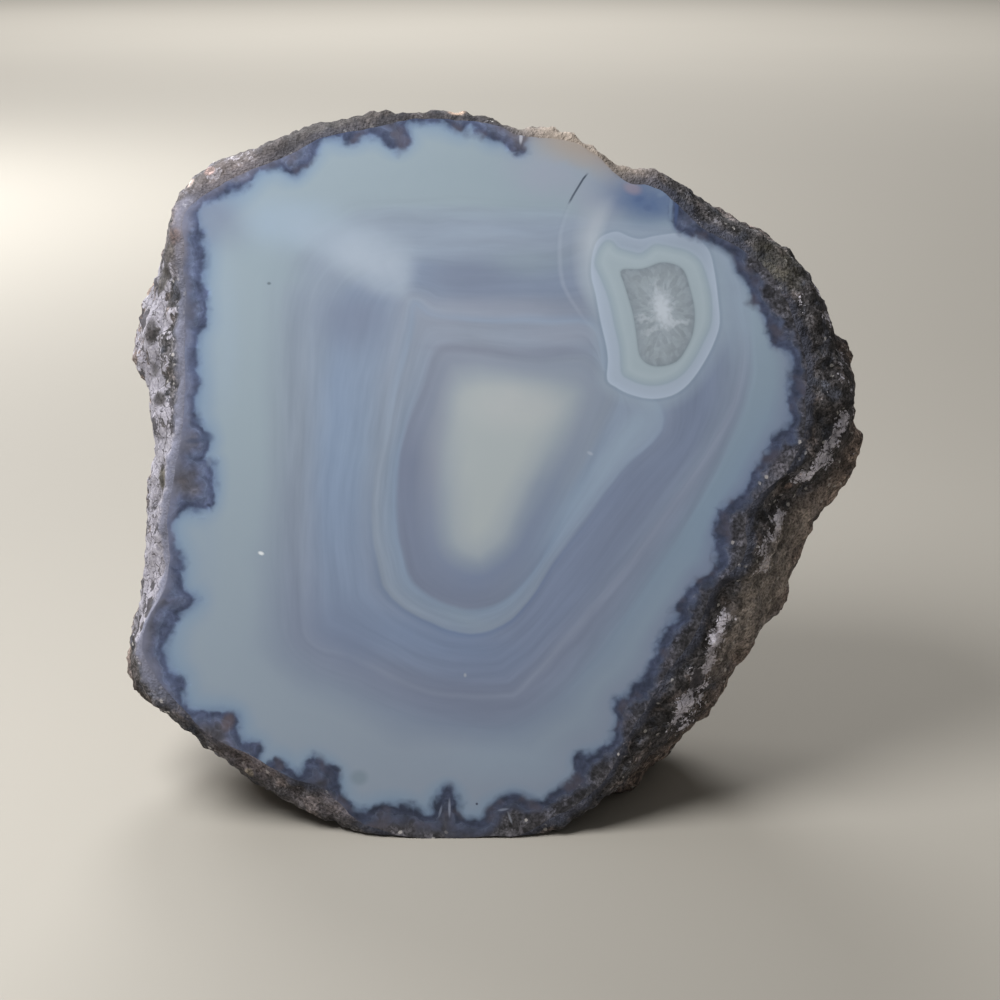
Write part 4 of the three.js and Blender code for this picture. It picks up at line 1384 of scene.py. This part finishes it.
# %% Add the odd grains
ODD_GRAINS = {
    "dark top": (-12.0, 45.6, 26.0, 3.4, 2, "#443f3d", 0.8),
    "dark shoulder": (-25.0, 43.0, 9.0, 3.4, 24, "#4a4647", 0.75),
    "olive at the right": (33.0, 28.0, 6.0, 3.5, -45, "#5b5749", 0.6),
    # The brown flank, the mauve below and the mauve at the foot are lighter than the rind round them: partly
    # their own colour, partly painted light on sides that face away from the lamp.
    "brown flank with painted light": (35.0, -9.0, 6.0, 19.0, -38, "#b3a79e", 0.5),
    "mauve below with painted light": (-31.0, -29.5, 11.0, 4.0, -38, "#8f8488", 0.5),
    "mauve at the foot with painted light": (-20.0, -37.0, 8.0, 2.6, -14, "#827a7e", 0.5),
    "peach at the top": (-5.2, 46.4, 1.4, 0.8, 0, "#c0a694", 0.9),
    "peach below": (-9.4, -39.6, 1.3, 0.9, 0, "#b09a84", 0.9),
    "cream grain": (-37.6, 38.0, 1.2, 0.7, 30, "#b7a79f", 0.8),
    "pink grain": (-34.8, 39.4, 1.0, 0.8, 0, "#b0958f", 0.8),
    "earth left": (-38.8, 31.6, 1.3, 1.8, 0, "#5e4c45", 0.7),
    "olive left": (-40.8, 2.6, 0.9, 1.9, 0, "#4c483b", 0.9),
    "dark patch": (-42.6, 15.8, 1.3, 1.6, 20, "#403d3e", 0.9),
    "dark patch above": (-42.6, 20.4, 1.2, 2.4, -5, "#454142", 0.85),
    "dark patch below": (-41.4, 12.2, 1.5, 1.2, 0, "#403d3e", 0.9),
    "dark shoulder at the left": (-41.0, 26.8, 1.4, 2.4, -25, "#4a4643", 0.85),
    "dark shoulder above": (-39.6, 29.6, 1.3, 1.8, -20, "#4c4744", 0.75),
    "rust": (35.0, 1.6, 0.8, 0.5, 30, "#b39c94", 0.85),
    "rust beside": (35.9, 2.2, 0.55, 0.45, 0, "#c8b2a6", 0.85),
    "rust above": (36.4, 3.0, 0.4, 0.35, 0, "#bfa99e", 0.8),
    "cream below": (-30.6, -33.4, 0.8, 0.9, 0, "#9c9181", 0.7),
}
DEEPEST = 7.0

face_place = add_node("Attribute", attribute_name="face_spot")
grit_value = add_node("MapRange", rind_grit, 0.34, 0.66, 0.5, 1.6)
blotch_value = add_node("MapRange", holes, 0.38, 0.62, 0.45, 1.5)
grain_value = add_node("Math MULTIPLY", grit_value, blotch_value)
spotted = edged
for across, up, long, wide, turn, colour, strength in ODD_GRAINS.values():
    deep = min(DEEPEST, 3 * max(long, wide))
    inside = oval(face_place.outputs["Vector"], (across, up, 0.6 * deep), (long, wide, deep), turn, 0.5)
    weight = add_node("Math MULTIPLY", inside, strength)
    tint = add_node("HueSaturation", Color=colour, Value=grain_value)
    spotted = add_node("Mix", weight, spotted, tint)
# Low places in the relief, the hollows and the gaps between grains, are painted darker: this is painted
# shade.
relief_node = add_node("Attribute", attribute_name="relief")
rind_colour_with_painted_shade = shaded(spotted, relief_node.outputs["Fac"], -0.6, 0.15, 0.5, 1.05)
print(len(ODD_GRAINS), "odd grains")

# %% Finish the rind
grain_height = add_node("Math MULTIPLY", rind_grains.outputs["Distance"], -0.6)
rind_height = add_node("Math ADD", grain_height, rind_grit)
smooth_node = add_node("Attribute", attribute_name="lavender")
bump_share = add_node("MapRange", smooth_node.outputs["Fac"], 0.0, 1.0, 0.8, 0.15)
rind_bump = add_node("Bump", Distance=0.4 * MM, Strength=bump_share, Height=rind_height)
rind_gloss = add_node("MapRange", rind_glint_highlights, 0.0, 1.0, 0.88, 0.25)
rind_shader = add_node(
    "BsdfPrincipled", IOR=1.5, Base_Color=rind_colour_with_painted_shade, Roughness=rind_gloss, Normal=rind_bump
)
add_node("OutputMaterial", Surface=rind_shader)
print("weathered_rind:", len(trees[-1].nodes), "nodes")

# %% [markdown]
# ## Ground foot
# The flat underneath was rubbed down on a coarse wheel, so that the stone stands. It is even, matte and
# lighter than the rind, with scratches across it and the grains cut through.

# %% Grind the foot
ground_foot = new_material("ground_foot")

foot_place = add_node("TexCoord")
foot_spot = add_node("VectorMath SCALE", foot_place.outputs["Object"], 1 / MM)
foot_stretch = add_node("VectorMath MULTIPLY", foot_spot, (0.25, 3.0, 1.0))
scratches = add_node("TexNoise", foot_stretch, 1.0, 3.0)
cut_grains = add_node("TexVoronoi", foot_spot, 1 / GRAIN_SIZE)
foot_tone = add_node(
    "ValToRGB", cut_grains.outputs["Color"], stops=[(0.0, "#5f5b5a"), (0.5, "#7a7471"), (1.0, "#918c8b")]
)
foot_colour = shaded(foot_tone, scratches, 0.3, 0.7, 0.85, 1.12)
foot_bump = add_node("Bump", Strength=0.3, Distance=0.05 * MM, Height=scratches)
foot_shader = add_node("BsdfPrincipled", IOR=1.5, Roughness=0.7, Base_Color=foot_colour, Normal=foot_bump)
add_node("OutputMaterial", Surface=foot_shader)
print("ground_foot:", len(trees[-1].nodes), "nodes")

# %% Give each part of the stone its material
FOOT_LEVEL = 0.03

for material in (polished_agate, weathered_rind, ground_foot):
    stone_mesh.materials.append(material)
foot_quads = (points[:, 2] < FOOT_LEVEL)[rind_quads].all(axis=1)
slots = np.concatenate([
    np.zeros(sum(len(sheet) for sheet in sheets[:4]), int),
    np.where(foot_quads, 2, 1),
    np.ones(COLUMNS, int),
])
stone_mesh.polygons.foreach_set("material_index", slots)
stone_mesh.polygons.foreach_set("use_smooth", slots == 1)
stone_mesh.update()
print("faces of polish, rind and foot:", np.bincount(slots).tolist())

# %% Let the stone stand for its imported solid
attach(stone, "root")
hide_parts("agate_nodule")

# %% [markdown]
# ## The floor and the light
# The floor is plain and pale, far larger than the view. One soft lamp stands near, up and to the left,
# so the light falls off across the face, and a dim pale sky fills the shadows.

# %% Lay the floor
FLOOR_HALF = 6.0

pale_floor = new_material("pale_floor")
floor_cloud = add_node("TexNoise", Scale=9.0, Detail=5.0)
floor_colour = add_node("ValToRGB", floor_cloud, stops=[(0.3, "#a09b92"), (0.7, "#a8a39a")])
floor_shader = add_node("BsdfPrincipled", Roughness=0.8, Base_Color=floor_colour)
add_node("OutputMaterial", Surface=floor_shader)

floor_mesh = bpy.data.meshes.new("floor")
floor_corners = [(x * FLOOR_HALF, y * FLOOR_HALF, 0) for x, y in ((-1, -1), (1, -1), (1, 1), (-1, 1))]
floor_mesh.from_pydata(floor_corners, [], [(0, 1, 2, 3)])
floor_mesh.materials.append(pale_floor)
floor = bpy.data.objects.new("floor", floor_mesh)
bpy.context.scene.collection.objects.link(floor)
print("floor:", 2 * FLOOR_HALF, "m square")

# %% Hang the lamp and fill the sky
LAMPS = {
    "soft_lamp": ((-0.12, -0.07, 0.225), 0.15, 0.735, face_zero * MM),
    "back_lamp": ((-0.35, 0.42, 0.30), 0.30, 3.0, (-0.35, 0.42, 0)),
    "floor_lamp": ((-0.15, 1.5, 1.15), 0.8, 25.5, (-0.15, 1.5, 0)),
}
SKY_COLOUR, SKY_STRENGTH = "#e8e6e2", 0.22

for name, (place, size, power, target) in LAMPS.items():
    lamp = bpy.data.objects.new(name, bpy.data.lights.new(name, "AREA"))
    lamp.data.shape = "DISK"
    lamp.data.size = size
    lamp.data.energy = power
    lamp.location = place
    lamp.rotation_euler = (Vector(target) - Vector(place)).to_track_quat("-Z", "Y").to_euler()
    bpy.context.scene.collection.objects.link(lamp)

sky = bpy.data.worlds.new("sky")
sky.use_nodes = True
background = sky.node_tree.nodes["Background"]
background.inputs["Color"].default_value = linear(SKY_COLOUR)
background.inputs["Strength"].default_value = SKY_STRENGTH
bpy.context.scene.world = sky
bpy.context.scene.view_settings.view_transform = "Standard"
print("lamps:", {name: lamp[2] for name, lamp in LAMPS.items()}, "W")
